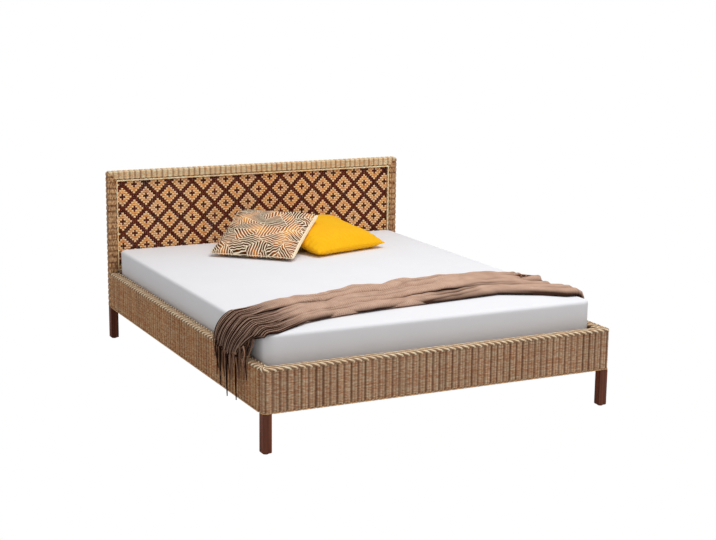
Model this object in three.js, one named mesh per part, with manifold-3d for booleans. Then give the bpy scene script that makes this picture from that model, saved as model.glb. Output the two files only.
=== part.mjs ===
// A rattan double bed: ribbed wicker rails on dark wooden legs, a diamond-woven headboard, and its bedding.
// Millimetres. +X is the right side seen from the foot, +Y is the head end, +Z is up.
// The origin is on the floor, under the leg that stands in the middle of the bed.
import * as THREE from 'three';
import { mergeGeometries, mergeVertices } from 'three/addons/utils/BufferGeometryUtils.js';
import Module from 'manifold-3d';

const wasm = await Module();
wasm.setup();

// Mattress, and the room that the frame leaves round it
const mattressWidth = 1600;
const mattressLength = 2000;
const mattressHeight = 190;
const mattressCorner = 45;
const mattressEdge = 26;
const mattressSideGap = 5;
const mattressFootGap = 34.7;

// Heights from the floor
const headboardHeight = 895;
const railTop = 365;
const railBottom = 170;

// Clearance between pieces that touch, and how far a cutting shape runs past what it cuts
const seatGap = 0.3;
const overrun = 5;

// Wicker: rib after rib of strands, drawn in at a narrow gap between two ribs
const ribPitch = 32;
const ribGapShare = 0.32;
const railGroove = 3.5;
const wickerWall = 10;

// Rails
const railThickness = 45;
const railCornerRadius = 14;
const borderHeight = 16;
const borderRound = 7;
const beadHeight = 8;
const beadProud = 1;

// Headboard
const headboardThickness = 50;
const frameFace = 46;
const frameRibPitch = 30;
const frameGroove = 3;
const frameCornerRadius = 16;

// Woven panel
const panelBead = 10;
const panelBeadDepth = 16;
const beadRound = 3;
const layerThickness = 5;
const floatProud = 0.8;
const cellWidth = 10.73;
const cellHeight = 10.9;
const firstDiamondIn = 27;
const firstDiamondDown = 19.5;
const periodCells = 12;
const diamondHalfCells = 4.5;
const windowClearance = 0.4;
const tipShare = 0.7;

// Legs
const legSide = 40;
const legInset = 3;
const legEdge = 1.5;
const legFootChamfer = 3;
const glideRadius = 13;
const glideHeight = 4;
const glideEdge = 1;
const boltRadius = 4;
const boltInLeg = 50;
const boltInBoard = 45;
const boreClearance = 0.3;

// Slatted base
const mattressSunk = 75;
const slatWidth = 80;
const slatThickness = 18;
const slatEdge = 4;
const slatCount = 11;
const slatEndGap = 2;
const ledgeWidth = 25;
const ledgeHeight = 40;
const ledgeSetback = 70;
const beamWidth = 40;
const beamHeight = 60;

// Steel fittings
const plateThickness = 3;
const bracketArm = 55;
const bracketHeight = 85;
const bracketRise = 12;
const shoeDepth = 35;
const shoeSideHeight = 40;

// Cushions
const cushionThickness = 125;
const cushionPullIn = 16;
const cushionHem = 7;
const cushionCrownShare = 0.45;
const yellowSide = 470;
const yellowX = 230;
const yellowFromHead = 343;
const yellowRise = 66;
const yellowTilt = THREE.MathUtils.degToRad(9.5);
const yellowTurn = THREE.MathUtils.degToRad(16);
const printedSide = 450;
const printedX = -118;
const printedFromHead = 364;
const printedRise = 97;
const printedTilt = THREE.MathUtils.degToRad(20);
const printedTurn = THREE.MathUtils.degToRad(-42);

// Throw: how it lies across the foot third of the bed
const clothThickness = 5;
const clothStandOff = 0.4;
const foldHeight = 30;
const pleatHeight = 14;
const rightDrop = 92;
const drapeBulge = 8;
const hemHeight = 345;
const fringeLength = 160;
const fringeWidth = 6;
const fringeTip = 3;
const fringeSplay = 7;
const fringeCount = 16;

const finish = (color, roughness, metalness = 0) => () => (
  new THREE.MeshStandardMaterial({ color, roughness, metalness })
);
const rattanFinish = finish(0xa9855f, 0.6);
const borderFinish = finish(0xc4a075, 0.55);
const brownFinish = finish(0x5a3226, 0.55);
const strawFinish = finish(0xdcb48a, 0.55);
const legFinish = finish(0x5a3024, 0.45);
const boardFinish = finish(0xc9a678, 0.75);
const steelFinish = finish(0x9a9ca0, 0.4, 0.9);
const glideFinish = finish(0x2a2624, 0.5);
const sheetFinish = finish(0xe9e9ee, 0.9);
const yellowFinish = finish(0xf0b020, 0.85);
const printFinish = finish(0xdccfae, 0.85);
const throwFinish = finish(0xa8876f, 0.95);

const bed = new THREE.Group();

// Adds one named piece to the bed.
function addPiece(name, geometry, makeFinish) {
  const piece = new THREE.Mesh(geometry, makeFinish());
  piece.name = name;
  bed.add(piece);
}

// Turns a closed geometry into a solid that can be cut and joined.
function solidOf(geometry) {
  const bare = geometry.clone();
  bare.deleteAttribute('normal');
  bare.deleteAttribute('uv');
  const welded = mergeVertices(bare);
  const vertProperties = new Float32Array(welded.attributes.position.array);
  const triVerts = new Uint32Array(welded.index.array);
  return new wasm.Manifold(new wasm.Mesh({ numProp: 3, vertProperties, triVerts }));
}

// A geometry from its points and the three points of each face.
function surface(positions, index) {
  const geometry = new THREE.BufferGeometry();
  geometry.setAttribute('position', new THREE.Float32BufferAttribute(positions, 3));
  geometry.setIndex(index);
  geometry.computeVertexNormals();
  return geometry;
}

// Turns a solid back into a geometry.
function geometryOf(solid) {
  const mesh = solid.getMesh();
  return surface(Array.from(mesh.vertProperties), Array.from(mesh.triVerts));
}

// A box from its lowest to its highest corner.
function boxBetween(low, high) {
  const size = high.map((value, axis) => value - low[axis]);
  const box = new THREE.BoxGeometry(...size);
  return box.translate(...low.map((value, axis) => value + size[axis] / 2));
}

// Joins a stack of convex rings, each wound the same way round the stacking direction, into a solid.
function loft(rings) {
  const count = rings[0].length;
  const last = (rings.length - 1) * count;
  const index = [];
  for (let row = 0; row < last; row += count) {
    for (let k = 0; k < count; k++) {
      const a = row + k;
      const b = row + (k + 1) % count;
      index.push(a, b, b + count, a, b + count, a + count);
    }
  }
  for (let k = 1; k + 1 < count; k++) {
    index.push(0, k + 1, k);
    index.push(last, last + k, last + k + 1);
  }
  return surface(rings.flat(2), index);
}

// A bar of wicker along +X, centred on the origin. Each ring is a rectangle across the bar, and the
// rings between two ribs are drawn in by the groove. Round ends follow a quarter circle in plan.
function wickerBar({ length, depth, height, pitch, sideGroove, edgeGroove, endRadius }) {
  const ring = (x, sideInset, edgeInset) => {
    const y = depth / 2 - sideInset;
    const z = height / 2 - edgeInset;
    return [[x, -y, -z], [x, y, -z], [x, y, z], [x, -y, z]];
  };
  const ribbed = length - 2 * endRadius;
  const count = Math.max(1, Math.round(ribbed / pitch));
  const step = ribbed / count;
  const rings = [];
  for (let k = 0; k < count; k++) {
    const start = (k - count / 2) * step;
    rings.push(ring(start, sideGroove, edgeGroove));
    rings.push(ring(start + step * ribGapShare / 2, 0, 0));
    rings.push(ring(start + step * (1 - ribGapShare / 2), 0, 0));
  }
  rings.push(ring(ribbed / 2, sideGroove, edgeGroove));
  if (endRadius > 0) {
    for (const angle of [Math.PI / 3, Math.PI / 6, 0]) {
      const inset = sideGroove + (endRadius - sideGroove) * (1 - Math.sin(angle));
      const x = length / 2 - endRadius * (1 - Math.cos(angle));
      rings.push(ring(x, inset, edgeGroove));
      rings.unshift(ring(-x, inset, edgeGroove));
    }
  }
  return loft(rings);
}

// A rectangle with round corners, centred on the origin.
function roundedRectangle(width, depth, radius) {
  const x = width / 2 - radius;
  const y = depth / 2 - radius;
  const shape = new THREE.Shape();
  shape.absarc(x, -y, radius, -Math.PI / 2, 0, false);
  shape.absarc(x, y, radius, 0, Math.PI / 2, false);
  shape.absarc(-x, y, radius, Math.PI / 2, Math.PI, false);
  shape.absarc(-x, -y, radius, Math.PI, Math.PI * 1.5, false);
  return shape;
}

// A ring in the plane at height z, a rectangle with cut or round corners, wound round +Z.
function cornerRing(width, depth, radius, z, steps) {
  const ring = [];
  for (const [sx, sy, turn] of [[1, -1, -1], [1, 1, 0], [-1, 1, 1], [-1, -1, 2]]) {
    for (let k = 0; k <= steps; k++) {
      const angle = (turn + k / Math.max(1, steps)) * Math.PI / 2;
      const x = sx * (width / 2 - radius) + radius * Math.cos(angle);
      const y = sy * (depth / 2 - radius) + radius * Math.sin(angle);
      ring.push([x, y, z]);
    }
  }
  return ring;
}

// Places worked out from the driving sizes: the frame is built round its mattress
const bedWidth = mattressWidth + 2 * (mattressSideGap + railThickness);
const bedLength = railThickness + mattressFootGap + mattressLength + seatGap + headboardThickness;
const footFace = -bedLength / 2;
const headFace = bedLength / 2 - headboardThickness;
const headCentreY = bedLength / 2 - headboardThickness / 2;
const footCentreY = footFace + railThickness / 2;
const footInner = footFace + railThickness;
const sideInnerX = bedWidth / 2 - railThickness;
const sideCentreX = bedWidth / 2 - railThickness / 2;
const sideFoot = footInner + beadProud + seatGap;
const sideHead = headFace - seatGap;
const sideLength = sideHead - sideFoot;
const sideCentreY = (sideHead + sideFoot) / 2;
const wellCentreY = (headFace + footInner) / 2;
const legX = bedWidth / 2 - legInset - legSide / 2;
const coreThickness = railThickness - 2 * wickerWall;
const weaveTop = railTop - borderHeight - seatGap;
const weaveHeight = weaveTop - railBottom;
const boreRadius = boltRadius + boreClearance;

// An upright bore from one height to another.
function bore(x, y, low, high) {
  const cylinder = new THREE.CylinderGeometry(boreRadius, boreRadius, high - low, 12);
  return solidOf(cylinder.rotateX(Math.PI / 2).translate(x, y, (low + high) / 2));
}

// The part of a leg bolt's bore that runs up into the board above the leg.
const boardBore = (x, y) => bore(x, y, railBottom - overrun, railBottom + boltInBoard + boreClearance);

// Rails: a board inside, a ribbed sleeve woven round it with a bead along its foot, a rolled border on top
function railSleeve(length, beadLength, endRadius) {
  const bar = wickerBar({
    length,
    depth: railThickness,
    height: weaveHeight,
    pitch: ribPitch,
    sideGroove: railGroove,
    edgeGroove: 0,
    endRadius,
  });
  const beadOutline = roundedRectangle(beadLength, railThickness + 2 * beadProud, endRadius + beadProud);
  const beadShape = { depth: beadHeight, bevelEnabled: false, curveSegments: 3 };
  const bead = new THREE.ExtrudeGeometry(beadOutline, beadShape).translate(0, 0, -weaveHeight / 2);
  const pocketX = length / 2 - wickerWall + seatGap;
  const pocketY = coreThickness / 2 + seatGap;
  const pocketZ = weaveHeight / 2 + overrun;
  const pocket = boxBetween([-pocketX, -pocketY, -pocketZ], [pocketX, pocketY, pocketZ]);
  const sleeve = solidOf(bar).add(solidOf(bead)).subtract(solidOf(pocket));
  return geometryOf(sleeve).translate(0, 0, railBottom + weaveHeight / 2);
}

function railBorder(length, endRadius) {
  const outline = roundedRectangle(length - 2 * borderRound, railThickness - 2 * borderRound, endRadius);
  const border = new THREE.ExtrudeGeometry(outline, {
    depth: borderHeight - 2 * borderRound,
    bevelThickness: borderRound,
    bevelSize: borderRound,
    bevelSegments: 2,
    curveSegments: 2,
  });
  return border.translate(0, 0, railTop - borderHeight + borderRound);
}

function railCore(length) {
  const x = length / 2 - wickerWall;
  const y = coreThickness / 2;
  return boxBetween([-x, -y, railBottom], [x, y, weaveTop]);
}

function buildFootRail() {
  const board = solidOf(railCore(bedWidth).translate(0, footCentreY, 0));
  const bored = board.subtract(boardBore(-legX, footCentreY)).subtract(boardBore(legX, footCentreY));
  const border = railBorder(bedWidth, railCornerRadius - borderRound);
  addPiece('foot_rail_core', geometryOf(bored), boardFinish);
  const sleeve = railSleeve(bedWidth, bedWidth + 2 * beadProud, railCornerRadius);
  addPiece('foot_rail_weave', sleeve.translate(0, footCentreY, 0), rattanFinish);
  addPiece('foot_rail_border', border.translate(0, footCentreY, 0), borderFinish);
}

function buildSideRail(side, sign) {
  const alongSide = (geometry) => geometry.rotateZ(Math.PI / 2).translate(sign * sideCentreX, sideCentreY, 0);
  addPiece(`side_rail_core_${side}`, alongSide(railCore(sideLength)), boardFinish);
  const sleeve = railSleeve(sideLength, sideLength, 0);
  addPiece(`side_rail_weave_${side}`, alongSide(sleeve), rattanFinish);
  addPiece(`side_rail_border_${side}`, alongSide(railBorder(sideLength, beadProud)), borderFinish);
}

// Headboard frame: stiles and top rail wrapped in wicker and mitred at the top corners, over wooden cores
const innerX = bedWidth / 2 - frameFace;
const openingTop = headboardHeight - frameFace;
const coreFace = frameFace - 2 * wickerWall;
const coreDepth = headboardThickness - 2 * wickerWall;
const holeFace = coreFace + 2 * seatGap;
const holeDepth = coreDepth + 2 * seatGap;

// A shape drawn in the X and Z of the headboard, run through its thickness.
function throughHeadboard(shape) {
  const depth = headboardThickness + 2 * overrun;
  const prism = new THREE.ExtrudeGeometry(shape, { depth, bevelEnabled: false, curveSegments: 4 });
  return solidOf(prism.rotateX(Math.PI / 2).translate(0, headCentreY + depth / 2, 0));
}

const outlineXZ = (points) => new THREE.Shape(points.map(([x, z]) => new THREE.Vector2(x, z)));
const mitreSlip = seatGap * Math.SQRT1_2;
const outerX = bedWidth / 2 + overrun;

function frameBar(length) {
  return wickerBar({
    length,
    depth: headboardThickness,
    height: frameFace,
    pitch: frameRibPitch,
    sideGroove: frameGroove,
    edgeGroove: frameGroove,
    endRadius: 0,
  });
}

function buildStile(side, sign, outline) {
  const height = headboardHeight - railBottom;
  const centreX = sign * (bedWidth / 2 - frameFace / 2);
  const bar = frameBar(height).rotateY(-Math.PI / 2).translate(centreX, headCentreY, railBottom + height / 2);
  const mitre = throughHeadboard(outlineXZ([
    [sign * (innerX - overrun), railBottom - overrun],
    [sign * outerX, railBottom - overrun],
    [sign * outerX, headboardHeight + overrun - mitreSlip],
    [sign * (innerX - overrun), openingTop - overrun - mitreSlip],
  ]));
  const hole = boxBetween(
    [centreX - holeFace / 2, headCentreY - holeDepth / 2, railBottom - overrun],
    [centreX + holeFace / 2, headCentreY + holeDepth / 2, headboardHeight + overrun],
  );
  const sleeve = solidOf(bar).intersect(mitre).intersect(outline).subtract(solidOf(hole));
  addPiece(`headboard_stile_weave_${side}`, geometryOf(sleeve), rattanFinish);
  const core = boxBetween(
    [centreX - coreFace / 2, headCentreY - coreDepth / 2, railBottom],
    [centreX + coreFace / 2, headCentreY + coreDepth / 2, headboardHeight - wickerWall],
  );
  const bored = solidOf(core).subtract(boardBore(sign * legX, headCentreY));
  addPiece(`headboard_stile_core_${side}`, geometryOf(bored), boardFinish);
}

function buildTopRail(outline) {
  const centreZ = headboardHeight - frameFace / 2;
  const bar = frameBar(bedWidth).translate(0, headCentreY, centreZ);
  const mitre = throughHeadboard(outlineXZ([
    [-outerX, headboardHeight + overrun + mitreSlip],
    [outerX, headboardHeight + overrun + mitreSlip],
    [innerX - overrun, openingTop - overrun + mitreSlip],
    [overrun - innerX, openingTop - overrun + mitreSlip],
  ]));
  const hole = boxBetween(
    [-outerX, headCentreY - holeDepth / 2, centreZ - holeFace / 2],
    [outerX, headCentreY + holeDepth / 2, centreZ + holeFace / 2],
  );
  const sleeve = solidOf(bar).intersect(mitre).intersect(outline).subtract(solidOf(hole));
  addPiece('headboard_top_weave', geometryOf(sleeve), rattanFinish);
  const coreX = bedWidth / 2 - frameFace + wickerWall - seatGap;
  const core = boxBetween(
    [-coreX, headCentreY - coreDepth / 2, centreZ - coreFace / 2],
    [coreX, headCentreY + coreDepth / 2, centreZ + coreFace / 2],
  );
  addPiece('headboard_top_core', core, boardFinish);
}

// The lower board of the headboard, which closes the head end of the mattress well
function buildLowerBoard() {
  const halfX = innerX - seatGap;
  const height = railTop - railBottom;
  const bar = wickerBar({
    length: 2 * halfX,
    depth: headboardThickness,
    height,
    pitch: ribPitch,
    sideGroove: frameGroove,
    edgeGroove: 0,
    endRadius: 0,
  });
  const halfZ = height / 2 - wickerWall;
  const hole = boxBetween(
    [-outerX, -holeDepth / 2, -halfZ - seatGap],
    [outerX, holeDepth / 2, halfZ + seatGap],
  );
  const core = boxBetween([-halfX, -coreDepth / 2, -halfZ], [halfX, coreDepth / 2, halfZ]);
  const centreZ = railBottom + height / 2;
  const sleeve = geometryOf(solidOf(bar).subtract(solidOf(hole)));
  addPiece('headboard_lower_weave', sleeve.translate(0, headCentreY, centreZ), rattanFinish);
  addPiece('headboard_lower_core', core.translate(0, headCentreY, centreZ), boardFinish);
}

// Woven panel: brown strands stand upright and natural ones run across. Where a natural strand floats over
// the brown ones it shows as a diamond, so the natural layer reaches through diamond windows in the brown.
const panelX = innerX - seatGap;
const panelLow = railTop + seatGap;
const panelHigh = openingTop - seatGap;
const brownBack = headCentreY - seatGap / 2;
const brownFront = brownBack - layerThickness;
const naturalFront = headCentreY + seatGap / 2;

function diamondPlaces() {
  const halfPeriodX = periodCells * cellWidth / 2;
  const halfPeriodZ = periodCells * cellHeight / 2;
  const left = panelBead - panelX;
  const top = panelHigh - panelBead;
  const reachX = diamondHalfCells * cellWidth * tipShare;
  const reachZ = diamondHalfCells * cellHeight * tipShare;
  const places = [];
  for (let row = 0; top - firstDiamondDown - row * halfPeriodZ + reachZ > panelLow + panelBead; row++) {
    const z = top - firstDiamondDown - row * halfPeriodZ;
    const shift = row % 2 === 0 ? halfPeriodX : 0;
    for (let x = left + firstDiamondIn + shift; x - reachX < -left; x += 2 * halfPeriodX) {
      places.push([x, z]);
    }
  }
  return places;
}

// Diamond prisms at every place, from one depth to another, kept inside the bead.
function diamonds(frontY, backY, clearance) {
  const halfX = diamondHalfCells * cellWidth - clearance;
  const halfZ = diamondHalfCells * cellHeight - clearance;
  const prisms = diamondPlaces().map(([x, z]) => loft([
    [[x - halfX, frontY, z], [x, frontY, z + halfZ], [x + halfX, frontY, z], [x, frontY, z - halfZ]],
    [[x - halfX, backY, z], [x, backY, z + halfZ], [x + halfX, backY, z], [x, backY, z - halfZ]],
  ]));
  const edge = panelBead + clearance;
  const inside = boxBetween(
    [edge - panelX, frontY - overrun, panelLow + edge],
    [panelX - edge, backY + overrun, panelHigh - edge],
  );
  return solidOf(mergeGeometries(prisms)).intersect(solidOf(inside));
}

function panelLayer(frontY) {
  return solidOf(boxBetween([-panelX, frontY, panelLow], [panelX, frontY + layerThickness, panelHigh]));
}

function panelBeadRing(frontY) {
  const ring = (inset) => [
    [inset - panelX, panelLow + inset],
    [panelX - inset, panelLow + inset],
    [panelX - inset, panelHigh - inset],
    [inset - panelX, panelHigh - inset],
  ];
  const shape = outlineXZ(ring(beadRound));
  shape.holes.push(outlineXZ(ring(panelBead - beadRound)));
  const bead = new THREE.ExtrudeGeometry(shape, {
    depth: panelBeadDepth - 2 * beadRound,
    bevelThickness: beadRound,
    bevelSize: beadRound,
    bevelSegments: 1,
  });
  return bead.rotateX(Math.PI / 2).translate(0, frontY + panelBeadDepth - beadRound, 0);
}

function buildPanel() {
  const windows = diamonds(brownFront - overrun, brownBack + seatGap / 2, 0);
  const floats = diamonds(brownFront - floatProud, naturalFront + layerThickness / 2, windowClearance);
  addPiece('panel_brown_layer', geometryOf(panelLayer(brownFront).subtract(windows)), brownFinish);
  addPiece('panel_natural_layer', geometryOf(panelLayer(naturalFront).add(floats)), strawFinish);
  addPiece('panel_bead_front', panelBeadRing(brownFront - seatGap - panelBeadDepth), borderFinish);
  addPiece('panel_bead_back', panelBeadRing(naturalFront + layerThickness + seatGap), borderFinish);
}

// Legs, each held up into the frame by a hanger bolt and standing on a glide
function legBar(low, high) {
  const cut = legSide - 2 * legFootChamfer;
  return loft([
    cornerRing(cut, cut, legEdge, low, 1),
    cornerRing(legSide, legSide, legEdge, low + legFootChamfer, 1),
    cornerRing(legSide, legSide, legEdge, high, 1),
  ]);
}

function glide() {
  const profile = [
    [0, 0],
    [glideRadius - glideEdge, 0],
    [glideRadius, glideEdge],
    [glideRadius, glideHeight],
    [0, glideHeight],
  ];
  const lathe = new THREE.LatheGeometry(profile.map(([r, z]) => new THREE.Vector2(r, z)), 20);
  return lathe.rotateX(Math.PI / 2);
}

function buildLeg(place, x, y) {
  const boltLow = railBottom - boltInLeg;
  const leg = solidOf(legBar(glideHeight + seatGap, railBottom - seatGap).translate(x, y, 0));
  const bored = leg.subtract(bore(x, y, boltLow - boreClearance, railBottom + overrun));
  const bolt = new THREE.CylinderGeometry(boltRadius, boltRadius, boltInLeg + boltInBoard, 12);
  bolt.rotateX(Math.PI / 2).translate(x, y, boltLow + (boltInLeg + boltInBoard) / 2);
  addPiece(`leg_${place}`, geometryOf(bored), legFinish);
  addPiece(`leg_bolt_${place}`, bolt, steelFinish);
  addPiece(`glide_${place}`, glide().translate(x, y, 0), glideFinish);
}

// Slatted base: ledges on the side rails and a beam on a centre leg carry the slats
const mattressBottom = railTop - mattressSunk;
const slatTop = mattressBottom - seatGap;
const slatBottom = slatTop - slatThickness;
const carrierTop = slatBottom - seatGap;
const beamBottom = carrierTop - beamHeight;

function slat() {
  const halfX = sideInnerX - slatEndGap;
  const ring = (x) => cornerRing(slatWidth, slatThickness, slatEdge, 0, 1).map(([y, z]) => [x, y, z]);
  return loft([ring(-halfX), ring(halfX)]);
}

function buildSlats() {
  const first = footInner + ledgeSetback + slatWidth / 2;
  const last = headFace - ledgeSetback - slatWidth / 2;
  for (let k = 0; k < slatCount; k++) {
    const y = first + (last - first) * k / (slatCount - 1);
    const name = `slat_${String(k + 1).padStart(2, '0')}`;
    addPiece(name, slat().translate(0, y, (slatTop + slatBottom) / 2), boardFinish);
  }
}

function buildLedge(side, sign) {
  const outer = sideInnerX - seatGap;
  const halfWidth = ledgeWidth / 2;
  const ledge = boxBetween(
    [-halfWidth, footInner + ledgeSetback, carrierTop - ledgeHeight],
    [halfWidth, headFace - ledgeSetback, carrierTop],
  );
  addPiece(`slat_ledge_${side}`, ledge.translate(sign * (outer - halfWidth), 0, 0), boardFinish);
}

function buildBeam() {
  const reach = (headFace - footInner) / 2 - seatGap - plateThickness - seatGap;
  const beam = boxBetween([-beamWidth / 2, -reach, beamBottom], [beamWidth / 2, reach, carrierTop]);
  addPiece('centre_beam', beam.translate(0, wellCentreY, 0), boardFinish);
  addPiece('centre_leg', legBar(glideHeight + seatGap, beamBottom - seatGap), legFinish);
  addPiece('glide_centre', glide(), glideFinish);
}

// A steel shoe, open upwards and towards the bed, that carries one end of the beam.
function buildShoe(place, y, sign) {
  const inX = beamWidth / 2 + seatGap;
  const outX = inX + plateThickness;
  const floor = beamBottom - seatGap;
  const under = floor - plateThickness;
  const top = floor + shoeSideHeight;
  const wrap = solidOf(boxBetween([-outX, 0, under], [outX, shoeDepth, top]));
  const room = solidOf(boxBetween([-inX, plateThickness, floor], [inX, shoeDepth + overrun, top + overrun]));
  const shoe = geometryOf(wrap.subtract(room));
  if (sign < 0) shoe.rotateZ(Math.PI);
  addPiece(`beam_shoe_${place}`, shoe.translate(0, y + sign * seatGap, 0), steelFinish);
}

// A steel angle in an inner corner, below the slats, that ties a side rail to the end of the bed.
function buildBracket(place, signX, cornerY, signY) {
  const angle = outlineXZ([
    [0, 0],
    [bracketArm, 0],
    [bracketArm, plateThickness],
    [plateThickness, plateThickness],
    [plateThickness, bracketArm],
    [0, bracketArm],
  ].map(([x, y]) => [-signX * (x + seatGap), signY * (y + seatGap)]));
  const bracket = new THREE.ExtrudeGeometry(angle, { depth: bracketHeight, bevelEnabled: false });
  const z = railBottom + bracketRise;
  addPiece(`corner_bracket_${place}`, bracket.translate(signX * sideInnerX, cornerY, z), steelFinish);
}

// Mattress in a fitted sheet, pressed against the headboard
const mattressTop = mattressBottom + mattressHeight;
const mattressCentreY = headFace - seatGap - mattressLength / 2;

function buildMattress() {
  const rings = [];
  for (const [z, up] of [[mattressBottom, 1], [mattressTop, -1]]) {
    const edge = [];
    for (const angle of [0, Math.PI / 6, Math.PI / 3, Math.PI / 2]) {
      const inset = mattressEdge * (1 - Math.sin(angle));
      const rise = mattressEdge * (1 - Math.cos(angle));
      const width = mattressWidth - 2 * inset;
      const length = mattressLength - 2 * inset;
      edge.push(cornerRing(width, length, mattressCorner, z + up * rise, 4));
    }
    rings.push(...(up > 0 ? edge : edge.reverse()));
  }
  addPiece('mattress', loft(rings).translate(0, mattressCentreY, 0), sheetFinish);
}

// A closed skin over a grid of points: the upper and lower faces share a rim.
function skin(upper, lower) {
  const columns = upper[0].length;
  const rows = upper.length;
  const index = [];
  const at = (layer, row, column) => layer * rows * columns + row * columns + column;
  const quad = (a, b, c, d) => index.push(a, b, c, a, c, d);
  for (let r = 0; r + 1 < rows; r++) {
    for (let c = 0; c + 1 < columns; c++) {
      quad(at(0, r, c), at(0, r, c + 1), at(0, r + 1, c + 1), at(0, r + 1, c));
      quad(at(1, r, c), at(1, r + 1, c), at(1, r + 1, c + 1), at(1, r, c + 1));
    }
  }
  for (let c = 0; c + 1 < columns; c++) {
    quad(at(1, 0, c), at(1, 0, c + 1), at(0, 0, c + 1), at(0, 0, c));
    quad(at(0, rows - 1, c), at(0, rows - 1, c + 1), at(1, rows - 1, c + 1), at(1, rows - 1, c));
  }
  for (let r = 0; r + 1 < rows; r++) {
    quad(at(0, r, 0), at(0, r + 1, 0), at(1, r + 1, 0), at(1, r, 0));
    quad(at(1, r, columns - 1), at(1, r + 1, columns - 1), at(0, r + 1, columns - 1), at(0, r, columns - 1));
  }
  return surface([...upper, ...lower].flat(2), index);
}

// Cushions: two crowned faces that meet at a thin hem, with sides drawn in between the corners
const cushionGrid = 12;

function cushionHalf(u, v) {
  const crown = Math.pow((1 - u * u) * (1 - v * v), cushionCrownShare);
  return cushionHem / 2 + (cushionThickness - cushionHem) / 2 * crown;
}

function cushionFrame(x, fromHead, rise, turn, tilt) {
  const frame = new THREE.Matrix4().makeRotationZ(turn);
  frame.multiply(new THREE.Matrix4().makeRotationX(tilt));
  return frame.setPosition(x, headFace - fromHead, mattressTop + rise);
}

// Both faces of a cushion, with each point settled on what lies under it.
function cushion(side, frame, settle) {
  const faces = [1, -1].map((face) => {
    const rows = [];
    for (let r = 0; r <= cushionGrid; r++) {
      const v = 2 * r / cushionGrid - 1;
      const row = [];
      for (let c = 0; c <= cushionGrid; c++) {
        const u = 2 * c / cushionGrid - 1;
        const x = u * (side / 2 - cushionPullIn * (1 - v * v) * u * u);
        const y = v * (side / 2 - cushionPullIn * (1 - u * u) * v * v);
        const point = new THREE.Vector3(x, y, face * cushionHalf(u, v)).applyMatrix4(frame);
        row.push(settle(point, face).toArray());
      }
      rows.push(row);
    }
    return rows;
  });
  return skin(...faces);
}

const yellowFrame = cushionFrame(yellowX, yellowFromHead, yellowRise, yellowTurn, yellowTilt);
const printedFrame = cushionFrame(printedX, printedFromHead, printedRise, printedTurn, printedTilt);

// The lower face lies flat where it meets the mattress.
function settleOnMattress(point, face) {
  const floor = mattressTop + seatGap + (face > 0 ? cushionHem : 0);
  point.z = Math.max(point.z, floor);
  return point;
}

// The printed cushion leans on the yellow one, and its faces rise over that cushion's crown.
function settleOnYellow(point, face) {
  const local = point.clone().applyMatrix4(yellowFrame.clone().invert());
  const u = 2 * local.x / yellowSide;
  const v = 2 * local.y / yellowSide;
  if (Math.abs(u) < 1 && Math.abs(v) < 1) {
    const lift = face > 0 ? cushionHem : 0;
    local.z = Math.max(local.z, cushionHalf(u, v) + cushionHem / 2 + lift);
    point.copy(local.applyMatrix4(yellowFrame));
  }
  return settleOnMattress(point, face);
}

function buildCushions() {
  addPiece('cushion_yellow', cushion(yellowSide, yellowFrame, settleOnMattress), yellowFinish);
  addPiece('cushion_printed', cushion(printedSide, printedFrame, settleOnYellow), printFinish);
}

// Throw: woven cloth folded lengthwise, laid over the mattress, its left end hanging down over the rail
const clothSpans = 14;
const clothRows = 15;
const pleats = 4.5;

// Where the two long edges lie, as shares of the bed's length from the foot, at shares of the cloth's
// length from its right hem
const clothEdgeShares = [
  [0, 0.085, 0.3],
  [0.05, 0.09, 0.325],
  [0.1, 0.125, 0.345],
  [0.2, 0.165, 0.358],
  [0.41, 0.148, 0.32],
  [0.55, 0.137, 0.306],
  [0.7, 0.117, 0.285],
  [0.78, 0.096, 0.262],
  [0.88, 0.045, 0.234],
  [0.945, 0.04, 0.235],
  [1, 0.07, 0.236],
];

// The lengthwise folds: place across the cloth, height, wander along the length
const foldShares = [
  [0.16, 0.55, 0.04],
  [0.5, 0.8, -0.05],
  [0.84, 1, 0.03],
];
const foldWidthShare = 0.13;
const dropFoldShare = 0.35;

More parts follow.
